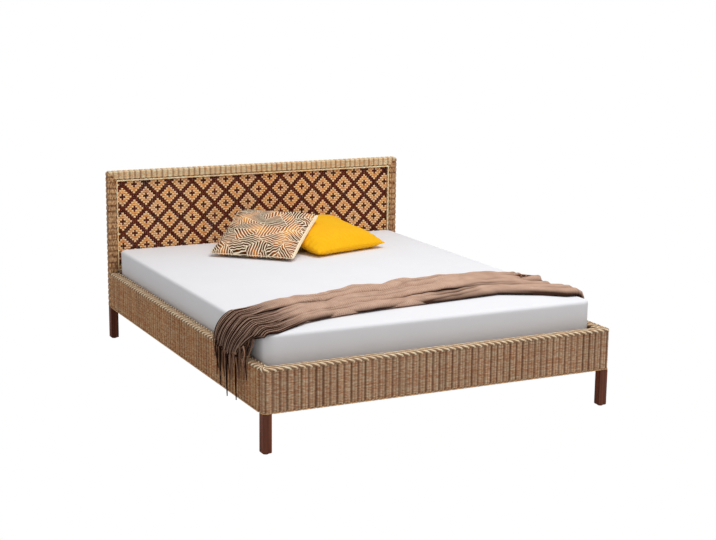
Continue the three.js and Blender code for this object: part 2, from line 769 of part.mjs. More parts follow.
// The line that the cloth lies along, from the right hem to the left one: over the mattress's right edge,
// across its top, and in a free curve from its left edge down past the rail. Each station has its
// share of the length and the direction that points out of the cloth.
function clothStations() {
  const half = mattressWidth / 2;
  const arcX = half - mattressEdge;
  const arcZ = mattressTop - mattressEdge;
  const radius = mattressEdge + clothStandOff;
  const drapeX = bedWidth / 2 + drapeBulge;
  const onArc = (sign, angle) => [sign * (arcX + radius * Math.sin(angle)), arcZ + radius * Math.cos(angle)];
  const points = [[half + clothStandOff, mattressTop - rightDrop]];
  for (const angle of [Math.PI / 2, Math.PI / 3, Math.PI / 6]) {
    points.push(onArc(1, angle));
  }
  for (let k = 0; k <= clothSpans; k++) {
    points.push([arcX - 2 * arcX * k / clothSpans, arcZ + radius]);
  }
  const [leaveX, leaveZ] = onArc(-1, Math.PI / 6);
  const turnZ = leaveZ - (drapeX + leaveX) * Math.tan(Math.PI / 6);
  const drape = new THREE.QuadraticBezierCurve(
    new THREE.Vector2(leaveX, leaveZ),
    new THREE.Vector2(-drapeX, turnZ),
    new THREE.Vector2(-drapeX, railTop),
  );
  points.push(...drape.getPoints(4).map((point) => point.toArray()));
  points.push([-drapeX, (railTop + hemHeight) / 2], [-drapeX, hemHeight]);
  const lengths = points.map(([x, z], k) => {
    const [fromX, fromZ] = points[Math.max(0, k - 1)];
    return Math.hypot(x - fromX, z - fromZ);
  });
  const total = lengths.reduce((sum, length) => sum + length, 0);
  let run = 0;
  return points.map(([x, z], k) => {
    const [fromX, fromZ] = points[Math.max(0, k - 1)];
    const [toX, toZ] = points[Math.min(points.length - 1, k + 1)];
    const reach = Math.hypot(toX - fromX, toZ - fromZ);
    run += lengths[k];
    return { x, z, along: run / total, outX: (toZ - fromZ) / reach, outZ: (fromX - toX) / reach };
  });
}

function clothEdges(along) {
  const next = Math.max(1, clothEdgeShares.findIndex(([start]) => start >= along));
  const [start, foot, head] = clothEdgeShares[next - 1];
  const [end, nextFoot, nextHead] = clothEdgeShares[next];
  const part = (along - start) / (end - start);
  return [
    footFace + bedLength * (foot + (nextFoot - foot) * part),
    footFace + bedLength * (head + (nextHead - head) * part),
  ];
}

// How far the outer face stands off the inner one.
function clothRise(along, across, hanging) {
  let folds = 0;
  for (const [place, height, wander] of foldShares) {
    const offset = (across - place - wander * Math.sin(2 * Math.PI * along)) / foldWidthShare;
    folds += height * Math.exp(-offset * offset);
  }
  const laid = 1 - hanging;
  const pleat = (1 - Math.cos(2 * Math.PI * pleats * across)) / 2;
  return clothThickness + foldHeight * folds * laid + pleatHeight * pleat * hanging;
}

function fringe() {
  const [footEdge, headEdge] = clothEdges(1);
  const x = -(bedWidth / 2 + drapeBulge + clothThickness / 2);
  const strands = [];
  for (let k = 0; k < fringeCount; k++) {
    const across = (k + 0.5) / fringeCount;
    const y = footEdge + (headEdge - footEdge) * across;
    const splay = fringeSplay * Math.sin(k * k);
    const tip = cornerRing(fringeTip, fringeTip, 0, hemHeight - fringeLength, 0);
    const root = cornerRing(fringeWidth, fringeWidth, 0, hemHeight + fringeWidth, 0);
    const place = (ring, shift) => ring.map(([dx, dy, z]) => [x + dx, y + dy + shift, z]);
    strands.push(loft([place(tip, splay), place(root, 0)]));
  }
  return solidOf(mergeGeometries(strands));
}

function buildThrow() {
  const stations = clothStations().reverse();
  const inner = [];
  const outer = [];
  for (let r = 0; r <= clothRows; r++) {
    const across = r / clothRows;
    const innerRow = [];
    const outerRow = [];
    for (const { x, z, along, outX, outZ } of stations) {
      const [footEdge, headEdge] = clothEdges(along);
      const y = footEdge + (headEdge - footEdge) * across;
      const hanging = Math.abs(outX) * (x > 0 ? 1 - dropFoldShare : 1);
      const rise = clothRise(along, across, hanging);
      innerRow.push([x, y, z]);
      outerRow.push([x + outX * rise, y, z + outZ * rise]);
    }
    inner.push(innerRow);
    outer.push(outerRow);
  }
  addPiece('throw', geometryOf(solidOf(skin(outer, inner)).add(fringe())), throwFinish);
}

const headboardOutline = throughHeadboard(roundedRectangle(bedWidth, 2 * headboardHeight, frameCornerRadius));

buildFootRail();
buildTopRail(headboardOutline);
buildLowerBoard();
buildPanel();
buildSlats();
buildBeam();
buildShoe('foot', footInner, 1);
buildShoe('head', headFace, -1);
for (const [side, sign] of [['left', -1], ['right', 1]]) {
  buildSideRail(side, sign);
  buildStile(side, sign, headboardOutline);
  buildLedge(side, sign);
  buildLeg(`foot_${side}`, sign * legX, footCentreY);
  buildLeg(`head_${side}`, sign * legX, headCentreY);
  buildBracket(`foot_${side}`, sign, footInner, 1);
  buildBracket(`head_${side}`, sign, headFace, -1);
}
buildMattress();
buildCushions();
buildThrow();

export default bed;
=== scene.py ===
import bpy
import numpy as np
from mathutils import Matrix, Vector
from mathutils.bvhtree import BVHTree


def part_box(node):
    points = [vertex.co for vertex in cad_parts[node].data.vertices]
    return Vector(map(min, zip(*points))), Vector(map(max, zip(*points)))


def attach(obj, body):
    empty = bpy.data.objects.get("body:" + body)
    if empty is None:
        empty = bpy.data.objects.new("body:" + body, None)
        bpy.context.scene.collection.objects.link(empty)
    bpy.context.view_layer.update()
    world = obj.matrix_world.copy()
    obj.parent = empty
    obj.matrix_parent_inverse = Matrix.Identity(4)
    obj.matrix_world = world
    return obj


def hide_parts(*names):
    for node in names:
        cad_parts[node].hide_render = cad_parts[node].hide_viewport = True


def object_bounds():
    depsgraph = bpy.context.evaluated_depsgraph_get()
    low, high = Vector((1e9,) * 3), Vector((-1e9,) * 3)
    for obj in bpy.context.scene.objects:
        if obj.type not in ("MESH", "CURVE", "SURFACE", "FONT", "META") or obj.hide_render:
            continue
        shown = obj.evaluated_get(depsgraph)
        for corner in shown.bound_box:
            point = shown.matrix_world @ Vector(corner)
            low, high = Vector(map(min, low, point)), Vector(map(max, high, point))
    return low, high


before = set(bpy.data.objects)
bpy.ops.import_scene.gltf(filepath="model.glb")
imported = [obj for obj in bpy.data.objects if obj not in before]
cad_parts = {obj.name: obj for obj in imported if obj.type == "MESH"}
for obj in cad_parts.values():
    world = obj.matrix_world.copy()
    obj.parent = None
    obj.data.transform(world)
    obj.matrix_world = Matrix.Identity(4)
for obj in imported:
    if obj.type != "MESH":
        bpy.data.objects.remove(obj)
cad_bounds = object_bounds()


# Boards inside the wicker, slats, their ledges and the beam: planed softwood, straight in the grain and
# left bare. The boards are joined before any weaving starts, and the slats are laid in last.
class Wire:
    """One output of a shader node. Arithmetic on it adds Math nodes, and node() adds any other kind."""

    def __init__(self, tree, socket=None):
        self.tree = tree
        self.socket = socket

    def node(self, kind, settings={}, inputs={}, output=0):
        made = self.tree.nodes.new("ShaderNode" + kind)
        for name, value in settings.items():
            setattr(made, name, value)
        for name, value in inputs.items():
            if isinstance(value, Wire):
                self.tree.links.new(value.socket, made.inputs[name])
            else:
                made.inputs[name].default_value = value
        return Wire(self.tree, made.outputs[output])

    def math(self, operation, *values):
        return self.node("Math", {"operation": operation}, dict(enumerate((self,) + values)))

    def __add__(self, other):
        return self.math("ADD", other)

    def __mul__(self, other):
        return self.math("MULTIPLY", other)

    def __sub__(self, other):
        return self.math("SUBTRACT", other)

    def __rsub__(self, other):
        return (self * -1.0).math("ADD", other)

    __radd__ = __add__
    __rmul__ = __mul__

    def attribute(self, name, output="Fac"):
        return self.node("Attribute", {"attribute_name": name}, output=output)

    def part(self, axis):
        """X, Y or Z of a vector, by number."""
        return self.node("SeparateXYZ", {}, {0: self}, output=axis)

    def scaled(self, factors):
        return self.node("VectorMath", {"operation": "MULTIPLY"}, {0: self, 1: factors})

    def noise(self, scale, detail):
        return self.node("TexNoise", {}, {"Vector": self, "Scale": scale, "Detail": detail})

    def mix(self, low, high):
        """The colour low where this is 0, and high where it is 1."""
        return self.node("Mix", {"data_type": "RGBA"}, {0: self, 6: low, 7: high}, output=2)

    def bump(self, strength, depth):
        return self.node("Bump", {}, {"Height": self, "Strength": strength, "Distance": depth})


def paint(red, green, blue):
    """A colour as a screen shows it, from 0 to 255, in the shader's own linear values."""
    shown = np.array([red, green, blue]) / 255
    linear = np.where(shown <= 0.04045, shown / 12.92, ((shown + 0.055) / 1.055) ** 2.4)
    return (*linear.tolist(), 1.0)


def finish(name, surface, fixed={}):
    """A material. surface(wire) gives the sockets that vary over the piece, and fixed the constant ones."""
    made = bpy.data.materials.new(name)
    made.use_nodes = True
    shader = made.node_tree.nodes["Principled BSDF"]
    for socket, value in fixed.items():
        shader.inputs[socket].default_value = value
    for socket, wire in surface(Wire(made.node_tree)).items():
        made.node_tree.links.new(wire.socket, shader.inputs[socket])
    return made


def coat(material, *nodes):
    """Gives solids that are shown as they are their finish."""
    for node in nodes:
        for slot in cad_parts[node].material_slots:
            slot.material = material


GRAIN_STRETCH = 0.045


def planed(axis, pale, dark):
    """Straight grain along one axis: growth rings cut lengthwise, and fine pores."""
    stretch = [1.0, 1.0, 1.0]
    stretch[axis] = GRAIN_STRETCH

    def surface(wire):
        place = wire.node("TexCoord", output="Object").scaled(stretch)
        rings = (place.noise(16.0, 2.0) * 44.0).math("SINE") * 0.5 + 0.5
        pores = place.noise(420.0, 2.0)
        tint = (rings * 0.55 + pores * 0.6 - 0.1).mix(dark, pale)
        return {
            "Base Color": tint,
            "Roughness": 0.52 + pores * 0.22,
            "Normal": (pores + rings * 0.4).bump(0.35, 0.0004),
        }

    return surface


SOFTWOOD = (paint(214, 178, 130), paint(184, 140, 92))
ENDS, SIDES = ("foot", "head"), ("left", "right")

across = finish("softwood_across", planed(0, *SOFTWOOD))
lengthwise = finish("softwood_lengthwise", planed(1, *SOFTWOOD))
upright = finish("softwood_upright", planed(2, *SOFTWOOD))
coat(across, "foot_rail_core", "headboard_top_core", "headboard_lower_core")
coat(across, *(f"slat_{number:02d}" for number in range(1, 12)))
coat(lengthwise, "centre_beam")
for side in SIDES:
    coat(lengthwise, f"side_rail_core_{side}", f"slat_ledge_{side}")
    coat(upright, f"headboard_stile_core_{side}")


# Corner brackets, beam shoes and leg bolts: pressed and turned steel with a dull, mottled zinc coat. The
# brackets are screwed into the inner corners of the frame, and the shoes hang the beam at its ends.
def zinc(wire):
    place = wire.node("TexCoord", output="Object")
    spangle = place.noise(90.0, 2.0)
    return {
        "Base Color": spangle.mix(paint(150, 153, 158), paint(196, 198, 202)),
        "Roughness": 0.28 + spangle * 0.3,
        "Normal": place.noise(700.0, 1.0).bump(0.1, 0.0001),
    }


plated = finish("zinc_plate", zinc, {"Metallic": 1.0})
for end in ENDS:
    coat(plated, f"beam_shoe_{end}")
    for side in SIDES:
        coat(plated, f"corner_bracket_{end}_{side}", f"leg_bolt_{end}_{side}")


# Legs: square hardwood, stained a dark red-brown and sealed with satin lacquer, with broken edges. Each
# screws up on its bolt under a corner and stands on a moulded glide.
LEG_WOOD = (paint(136, 74, 48), paint(86, 40, 24))
SATIN = {"Specular IOR Level": 0.25, "Coat Weight": 0.12, "Coat Roughness": 0.3}
stained = finish("stained_wood", planed(2, *LEG_WOOD), SATIN)


def moulded(wire):
    grit = wire.node("TexCoord", output="Object").noise(1200.0, 1.0)
    return {
        "Base Color": grit.mix(paint(38, 35, 33), paint(58, 54, 51)),
        "Roughness": 0.5 + grit * 0.2,
        "Normal": grit.bump(0.15, 0.0001),
    }


plastic = finish("moulded_plastic", moulded)
coat(stained, "centre_leg")
coat(plastic, "glide_centre")
for end in ENDS:
    for side in SIDES:
        coat(stained, f"leg_{end}_{side}")
        coat(plastic, f"glide_{end}_{side}")


# Rail wicker: pairs of rattan strands run along each rail, over stout upright stakes that raise the ribs
# and behind a thin stake in the gap between two ribs. The weaver bends each row by hand and packs it down.
RAIL_THICK = 0.045
RAIL_RADIUS = 0.014
RIB_PITCH = 0.032
RIB_STEPS = 6
RIB_ROUNDNESS = 1.15
RIB_DIMPLE = 0.54
RIB_GAP_SHADE = 0.82
COLUMN_MARK = 0.20
DARKEST_PAINTED_SHADE = 0.95
GROOVE = 0.0060
BEAD_HIGH = 0.008
BEAD_PROUD = 0.001
STRAND_HALF_WIDE = 0.0028
STRAND_HALF_THICK = 0.0017
ROW_HALF_WIDE = 0.0033
PAIRS = 14
PAIR_SPREAD = 0.24
PAIR_BOW = 0.0006
HAND_SLIP = 0.0004
STOUT_STAKE_HALF = (0.0070, 0.0028)
STOUT_STAKE_DEEP = 0.0072
THIN_STAKE_HALF = (0.0017, 0.0011)
THIN_STAKE_DEEP = 0.0098
TONE_RUN = 0.55
WAVE_SHARES = (1.0, 0.63, 0.41)

random = np.random.default_rng(7)


def mesh_of(name, points, corners, totals):
    """A smooth mesh from its points, the corners of its faces one after another, and each face's count."""
    mesh = bpy.data.meshes.new(name)
    mesh.vertices.add(len(points))
    mesh.vertices.foreach_set("co", np.asarray(points, np.float32).ravel())
    mesh.loops.add(len(corners))
    mesh.loops.foreach_set("vertex_index", np.asarray(corners, np.int32))
    mesh.polygons.add(len(totals))
    mesh.polygons.foreach_set("loop_start", np.concatenate([[0], np.cumsum(totals)[:-1]]).astype(np.int32))
    mesh.polygons.foreach_set("use_smooth", np.ones(len(totals), bool))
    mesh.update(calc_edges=True)
    return mesh


def note(mesh, name, values):
    """Stores a number or a vector for each point of a mesh, for its finish to read."""
    values = np.asarray(values, np.float32)
    kind, field = ("FLOAT", "value") if values.ndim == 1 else ("FLOAT_VECTOR", "vector")
    mesh.attributes.new(name, kind, "POINT").data.foreach_set(field, values.ravel())


def together(*parts):
    """Numbers that belong to the same points, as one row for each point."""
    return np.stack(np.broadcast_arrays(*parts), -1).reshape(-1, len(parts))


def shown(name, mesh, material, node, slot):
    """A visible piece, in place of the solid that it dresses."""
    mesh.materials.append(material)
    piece = bpy.data.objects.new(name, mesh)
    bpy.context.scene.collection.objects.link(piece)
    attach(piece, "root")
    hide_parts(node)
    return piece


class Strands:
    """Strands gathered into one mesh: oval tubes laid along paths, each with a flat side facing out."""

    def __init__(self, sides=5):
        self.sides = sides
        self.laid = []

    def lay(self, path, out, half_wide, half_thick, tone=0.5, painted_light_and_tone=0.0, closed=False):
        path = np.asarray(path, float)
        steps = len(path)
        if closed:
            ahead = np.roll(path, -1, axis=0) - np.roll(path, 1, axis=0)
        else:
            ahead = np.gradient(path, axis=0)
        aside = np.cross(ahead, np.broadcast_to(out, path.shape))
        aside /= np.linalg.norm(aside, axis=1)[:, None]
        outward = np.cross(aside, ahead)
        outward /= np.linalg.norm(outward, axis=1)[:, None]
        turn = 2 * np.pi * np.arange(self.sides) / self.sides - np.pi / 2
        half_wide = np.broadcast_to(half_wide, steps)[:, None, None]
        half_thick = np.broadcast_to(half_thick, steps)[:, None, None]
        ring = path[:, None] + aside[:, None] * half_wide * np.cos(turn)[:, None]
        ring = ring + outward[:, None] * half_thick * np.sin(turn)[:, None]
        run = np.concatenate([[0], np.cumsum(np.linalg.norm(np.diff(path, axis=0), axis=1))])
        self.laid.append((ring, run, np.broadcast_to(tone, steps), np.broadcast_to(painted_light_and_tone, steps), closed))

    def piece(self, name, material, node, slot):
        """One piece of all the strands. "cane" holds run, girth and tone, and "painted_light_and_tone" how
        far each place is mixed towards its finish's third colour: painted shade, or a painted highlight on
        the panel's natural strands, and on the rails also a random tone for each rib.
        """
        points, corners, totals, flat_map, cane_notes, painted_light_and_tones = [], [], [], [], [], []
        first = 0
        longest = max(run[-1] for _, run, _, _, _ in self.laid)
        for number, (ring, run, tone, painted_light_and_tone, closed) in enumerate(self.laid):
            steps, sides = ring.shape[:2]
            spans = steps if closed else steps - 1
            row = np.arange(spans)[:, None]
            side = np.arange(sides)[None]
            here, there = row * sides, (row + 1) % steps * sides
            beside = (side + 1) % sides
            quads = np.stack([here + side, there + side, there + beside, here + beside], -1)
            corners.append(first + quads.reshape(-1))
            totals.append(np.full(spans * sides, 4))
            reach = np.append(run, run[-1] + run[1])[: spans + 1] / longest
            level = (number + np.arange(sides + 1) / sides) / len(self.laid)
            start, low = np.broadcast_arrays(reach[:-1, None], level[None, :-1])
            end, high = np.broadcast_arrays(reach[1:, None], level[None, 1:])
            flat_map.append(np.stack([start, low, end, low, end, high, start, high], -1).reshape(-1, 2))
            if not closed:
                for cap, at in ((side[0], 0), (steps * sides - 1 - side[0], spans)):
                    corners.append(first + cap)
                    totals.append([sides])
                    flat_map.append(np.column_stack([np.full(sides, reach[at]), level[:-1]]))
            points.append(ring.reshape(-1, 3))
            cane_notes.append(together(run[:, None], side / sides, tone[:, None]))
            painted_light_and_tones.append(np.repeat(painted_light_and_tone, sides))
            first += steps * sides
        mesh = mesh_of(name, np.concatenate(points), np.concatenate(corners), np.concatenate(totals))
        note(mesh, "cane", np.concatenate(cane_notes))
        note(mesh, "painted_light_and_tone", np.concatenate(painted_light_and_tones))
        mesh.uv_layers.new(name="OFBake").uv.foreach_set("vector", np.concatenate(flat_map).ravel())
        return shown(name, mesh, material, node, slot)


def wave(turns):
    """A wave from -1 to 1, by its number of turns."""
    return np.sin(2 * np.pi * turns)


def uneven(place, wavelength):
    """A smooth unevenness from -1 to 1 along a place, as a hand makes it, in waves near one length."""
    waves = [wave(place / (wavelength * share) + random.random()) for share in WAVE_SHARES]
    return sum(waves) / len(waves)


def tones(run):
    """The tone along a strand, which changes where a new length of rattan takes over."""
    joints = int(run[-1] / TONE_RUN) + 2
    shades = random.random(joints)
    at = (run / TONE_RUN + random.random()).astype(int)
    return shades[np.minimum(at, joints - 1)]


def cane(pale, deep, shade, mottle=3.2):
    """Rattan: mottled along the strand, fibrous, each length in its own tone, and mixed towards the third
    colour by
        painted_light_and_tone. That colour is painted shade for most canes, and a painted highlight for the
        panel's natural strands.
    """

    def surface(wire):
        strand = wire.attribute("cane", "Vector")
        fleck = strand.scaled((52.0, 2.0, 91.0)).noise(1.0, 3.0) - 0.5
        fibre = strand.scaled((150.0, 34.0, 57.0)).noise(1.0, 2.0) - 0.5
        tone = strand.part(2) - 0.5
        body = (0.5 + tone * 0.36 + fleck * mottle + fibre * 0.9).mix(deep, pale)
        return {
            "Base Color": wire.attribute("painted_light_and_tone").mix(body, shade),
            "Roughness": 0.62 + fibre * 0.25,
            "Normal": fibre.bump(0.4, 0.0003),
        }

    return surface


DRY = {"Specular IOR Level": 0.18}
# The side rails get a darker, more mottled copy of the rail wicker: painted shade for their side faces, and
# a darker painted shade in their gaps
side_rail_shaded_tints = (paint(255, 220, 170), paint(220, 146, 96), paint(84, 34, 10))
wicker = finish("wicker", cane(paint(255, 228, 190), paint(222, 160, 118), paint(98, 50, 26)), DRY)
side_rail_shaded_wicker = finish("side_rail_shaded_wicker", cane(*side_rail_shaded_tints, mottle=4.2), DRY)
stake_cane = finish("stake_cane", cane(paint(150, 106, 74), paint(104, 68, 44), paint(60, 38, 24)), DRY)
bead_cane = finish("bead_cane", cane(paint(240, 198, 150), paint(196, 146, 100), paint(110, 74, 46)), DRY)
pale_cane = finish("pale_cane", cane(paint(255, 240, 206), paint(238, 198, 154), paint(112, 66, 36)), DRY)


def ribs_along(start, length, pitch, dimple=RIB_DIMPLE):
    """Distances along a face at six places to a rib, and how deep each lies towards the gap, from 0 to 1."""
    count = max(1, round(length / pitch))
    phases = np.arange(RIB_STEPS) / RIB_STEPS
    places = start + length * (np.arange(count)[:, None] + phases) / count
    depth = 1 - np.sin(np.pi * phases) ** RIB_ROUNDNESS + dimple * (phases == 0.5)
    return places.ravel(), np.broadcast_to(depth, places.shape).ravel()


def ribs_to_end(length, pitch, dimple=RIB_DIMPLE):
    """The same along a face that ends free, with one more gap at its far end."""
    places, depth = ribs_along(0.0, length, pitch, dimple)
    return np.append(places, length), np.append(depth, 1.0)


def straight(start, way, out):
    """A straight face: its points at given distances, and the direction out of it."""

    def at(distance):
        point = np.array(start) + np.asarray(distance)[:, None] * np.array(way)
        return point, np.broadcast_to(np.array(out, float), point.shape)

    return at


def moved_out(face, by):
    """The same face, further out."""

    def at(distance):
        point, out = face(distance)
        return point + out * by, out

    return at


def round_end_bar(half_x, half_y, radius, centre_y):
    """Round a bar's plan with round corners, from the left of its foot side: points and directions out."""
    spans = [2 * (half_x - radius), 2 * (half_y - radius)] * 2
    arc = np.pi * radius / 2

    def at(distance):
        left = np.asarray(distance, float) % (sum(spans) + 4 * arc)
        point, out = np.zeros((len(left), 3)), np.zeros((len(left), 3))
        corner, heading, begin = np.array([radius - half_x, -half_y]), 0.0, 0.0
        for span in spans:
            way = np.array([np.cos(heading), np.sin(heading)])
            away = np.array([way[1], -way[0]])
            reached = (left >= begin) & (left < begin + span + arc)
            bend = np.clip((left - begin - span) / radius, 0, np.pi / 2)
            turned = np.outer(np.cos(bend), away) + np.outer(np.sin(bend), way)
            centre = corner + np.outer(np.clip(left - begin, 0, span), way) - radius * away
            point[reached, :2] = (centre + radius * turned)[reached]
            out[reached, :2] = turned[reached]
            corner = corner + span * way - radius * away + radius * way
            heading += np.pi / 2
            begin += span + arc
        return point + [0, centre_y, 0], out

    return at, spans, arc


def gap_shade_and_rib_tone(depth, most):
    """How dark each place along a face is: painted shade, most in the gaps between ribs, plus a random tone
    for each rib so that no two ribs are alike.
    """
    gaps = most * depth**1.1 * random.uniform(0.7, 1.2, len(depth))
    by_rib = np.repeat(random.random(len(depth) // RIB_STEPS + 1), RIB_STEPS)[: len(depth)]
    return np.clip(gaps + COLUMN_MARK * (by_rib + random.random(len(depth))) / 2, 0, DARKEST_PAINTED_SHADE)


def weave_face(strands, face, places, depth, heights, closed=False):
    """Rows of paired strands along a face. At a rib the two of a pair part a little over the stake."""
    # Painted shade in the gaps between ribs, with a random tone for each rib
    painted_light_and_tones = gap_shade_and_rib_tone(depth, RIB_GAP_SHADE)
    for height, bow in heights:
        slip = HAND_SLIP * uneven(places, 0.27)
        point, out = face(places)
        inward = STRAND_HALF_THICK + GROOVE * depth - np.minimum(0, slip)
        path = point - out * inward[:, None]
        path[:, 2] = height + bow * PAIR_BOW * (1 - depth) + slip * 0.8
        tone = tones(places - places[0])
        strands.lay(path, out, ROW_HALF_WIDE, STRAND_HALF_THICK, tone, painted_light_and_tones, closed)


def paired_rows(low, high, pairs):
    """Heights of the strands between two levels, and which way each bows from its partner."""
    pitch = (high - low) / pairs
    centres = low + pitch * (np.arange(pairs) + 0.5)
    return [(centre + side * pitch * PAIR_SPREAD, side) for centre in centres for side in (-1, 1)]


def stakes(strands, face, places, low, high, half, deep):
    """Upright stakes at places along a face."""
    point, out = face(places)
    for foot, away in zip(point, out):
        levels = np.linspace(low, high, 5)
        path = np.column_stack([np.tile((foot - away * deep)[:2], (5, 1)), levels])
        strands.lay(path, away, *half, tone=random.random())


def rope(strands, face, places, level, radius, lay_length, closed=False):
    """Two strands twined along a face, as a bead."""
    point, out = face(places)
    point = point - out * radius
    point[:, 2] = level
    run = places - places[0]
    half = radius / 2
    for start in (0, np.pi):
        angle = start + 2 * np.pi * run / lay_length
        swing = out * np.cos(angle)[:, None] + np.outer(np.sin(angle), [0, 0, 1])
        strands.lay(point + swing * half, swing, half, half, tones(run), 0.0, closed)


def rail_wicker(name, faces, low, high, row_finish, replaced):
    """The wicker of one rail: rows on each face, both kinds of stake and the bead along its foot."""
    uprights, bead = Strands(6), Strands()
    parts = []
    for face_name, (face, places, depth, closed) in faces.items():
        rows = Strands()
        weave_face(rows, face, places, depth, paired_rows(low + BEAD_HIGH, high, PAIRS), closed)
        parts.append((f"rows_{face_name}", rows, row_finish))
        gaps = places[depth == 1]
        stakes(uprights, face, gaps, low, high, THIN_STAKE_HALF, THIN_STAKE_DEEP)
        stakes(uprights, face, gaps[:-1] + RIB_PITCH / 2, low, high, STOUT_STAKE_HALF, STOUT_STAKE_DEEP)
        even = np.arange(places[0], places[-1] + RIB_PITCH / 8, RIB_PITCH / 8)
        rope(bead, moved_out(face, BEAD_PROUD), even, low + BEAD_HIGH / 2, BEAD_HIGH / 2, RIB_PITCH, closed)
    for part, gathered, finished in parts + [("stakes", uprights, stake_cane), ("bead", bead, bead_cane)]:
        slot = "border_cane" if part == "bead" else "wicker"
        gathered.piece(f"{name}_{part}", finished, replaced, slot)


foot_low, foot_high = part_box("foot_rail_weave")
foot_centre_y = (foot_low.y + foot_high.y) / 2
foot_half_x = foot_high.x - BEAD_PROUD
foot_face, foot_spans, foot_arc = round_end_bar(foot_half_x, RAIL_THICK / 2, RAIL_RADIUS, foot_centre_y)
foot_places, foot_depth, begin = [], [], 0.0
for stretch in (foot_spans[0], 2 * foot_arc + foot_spans[1], foot_spans[2], 2 * foot_arc + foot_spans[3]):
    places, depth = ribs_along(begin, stretch, RIB_PITCH)
    foot_places.append(places)
    foot_depth.append(depth)
    begin += stretch
foot_faces = {"round": (foot_face, np.concatenate(foot_places), np.concatenate(foot_depth), True)}
rail_wicker("foot_rail_wicker", foot_faces, foot_low.z, foot_high.z, wicker, "foot_rail_weave")

side_faces = {}
for side, sign in (("left", -1), ("right", 1)):
    low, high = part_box(f"side_rail_weave_{side}")
    centre_x = (low.x + high.x) / 2
    length = high.y - low.y
    outer = straight((centre_x + sign * RAIL_THICK / 2, low.y, 0), (0, 1, 0), (sign, 0, 0))
    inner = straight((centre_x - sign * RAIL_THICK / 2, low.y, 0), (0, 1, 0), (-sign, 0, 0))
    places, depth = ribs_to_end(length, RIB_PITCH)
    side_faces[side] = (outer, inner, length)
    faces = {"outer": (outer, places, depth, False), "inner": (inner, places, depth, False)}
    replaced = f"side_rail_weave_{side}"
    rail_wicker(f"side_rail_wicker_{side}", faces, low.z, high.z, side_rail_shaded_wicker, replaced)


# Rolled border: pale strands laid slantwise over the top edge of each rail, each beside a darker one that
# lies lower,
# # tucked in at both faces, with a round strand along the middle that they are drawn down beside. The lower
# strands
# # are darker in tone and carry painted shade as well.
BORDER_HIGH = 0.016
BORDER_RUN = 0.050
BORDER_STEPS = 9
BORDER_SHIFT = 0.0015
BORDER_TAPER = 0.35
BORDER_HALF = (0.0040, 0.0022)
BORDER_SQUARENESS = 0.62
LOWER_HALF_WIDE = 0.0056
LOWER_STRAND_DEEP = 0.0004
LOWER_STRAND_SHADE = 0.78
SPINE_RADIUS = 0.0034
SPINE_STEPS = 40


def border_face(strands, face, length, top, closed):
    """Slanted strands from the foot of the border on one face up to the middle of the top."""
    count = 2 * round(length / RIB_PITCH)
    climb = np.linspace(0, 1, BORDER_STEPS)
    for number in range(count):
        shift = random.uniform(-BORDER_SHIFT, BORDER_SHIFT)
        distance = (number + 1) * length / count + shift - BORDER_RUN * climb
        if not closed:
            distance = np.clip(distance, 0, length)
        point, out = face(distance)
        angle = climb * np.pi / 2
        upper = number % 2 == 0
        deep = BORDER_HALF[1] + (0 if upper else LOWER_STRAND_DEEP)
        inward = deep + (RAIL_THICK / 2 - SPINE_RADIUS) * (1 - np.cos(angle) ** BORDER_SQUARENESS)
        path = point - out * inward[:, None]
        path[:, 2] = top - BORDER_HIGH + (BORDER_HIGH - deep) * np.sin(angle) ** BORDER_SQUARENESS
        facing = out * np.cos(angle)[:, None] + np.outer(np.sin(angle), [0, 0, 1])
        width = (BORDER_HALF[0] if upper else LOWER_HALF_WIDE) * (1 - BORDER_TAPER * climb**3)
        tone = random.uniform(0.6, 1.0) if upper else random.uniform(0.0, 0.3)
        strands.lay(path, facing, width, BORDER_HALF[1], tone, 0.0 if upper else LOWER_STRAND_SHADE)


def border_piece(name, replaced, runs, spine):
    strands = Strands(6)
    for face, length, top, closed in runs:
        border_face(strands, face, length, top, closed)
    # The middle strand is darkened with painted shade, as it lies under the slanted ones
    strands.lay(spine, (0, 0, 1), SPINE_RADIUS, SPINE_RADIUS, 0.4, 0.6)
    strands.piece(name, pale_cane, replaced, "border_cane")


rail_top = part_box("foot_rail_border")[1].z
spine_reach = foot_half_x - RAIL_THICK / 2
foot_spine = np.linspace((-spine_reach, 0, 0), (spine_reach, 0, 0), SPINE_STEPS)
foot_spine += [0, foot_centre_y, rail_top - SPINE_RADIUS]
foot_run = (foot_face, sum(foot_spans) + 4 * foot_arc, rail_top, True)
border_piece("foot_rail_rolled_border", "foot_rail_border", [foot_run], foot_spine)

for side in SIDES:
    low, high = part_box(f"side_rail_border_{side}")
    outer, inner, length = side_faces[side]
    spine = np.linspace((0, low.y, 0), (0, high.y, 0), SPINE_STEPS)
    spine += [(low.x + high.x) / 2, 0, high.z - SPINE_RADIUS]
    runs = [(face, length, high.z, False) for face in (outer, inner)]
    border_piece(f"side_rail_rolled_border_{side}", f"side_rail_border_{side}", runs, spine)


# Headboard frame and lower board: strands of rattan run along each bar, over stakes that circle it, so the
# ribs go right round and show in its outline. The top corners are mitred.
FRAME_FACE = 0.046
FRAME_DEEP = 0.050
FRAME_ROUND = 0.008
FRAME_RIB_PITCH = 0.030
FRAME_GROOVE = 0.0040
FRAME_DIMPLE = 0.34
FRAME_GAP_SHADE = 0.66
FRAME_STRANDS = 34
FRAME_CORNER = 0.016
FRAME_STAKE_HALF = (0.0018, 0.0012)
FRAME_STAKE_DEEP = 0.0075
MITRE_CLEAR = 0.001

stile_low, stile_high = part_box("headboard_stile_weave_left")
board_centre_y = (stile_low.y + stile_high.y) / 2
board_half_x = -stile_low.x
board_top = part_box("headboard_top_weave")[1].z


def section(turns, inset=0.0):
    """Places round a frame bar's section, as (towards the outer edge, back), and the ways out of it."""
    at, spans, arc = round_end_bar(FRAME_FACE / 2, FRAME_DEEP / 2, FRAME_ROUND, 0.0)
    point, out = at(turns * (sum(spans) + 4 * arc))
    return (point - out * inset)[:, :2], out[:, :2]


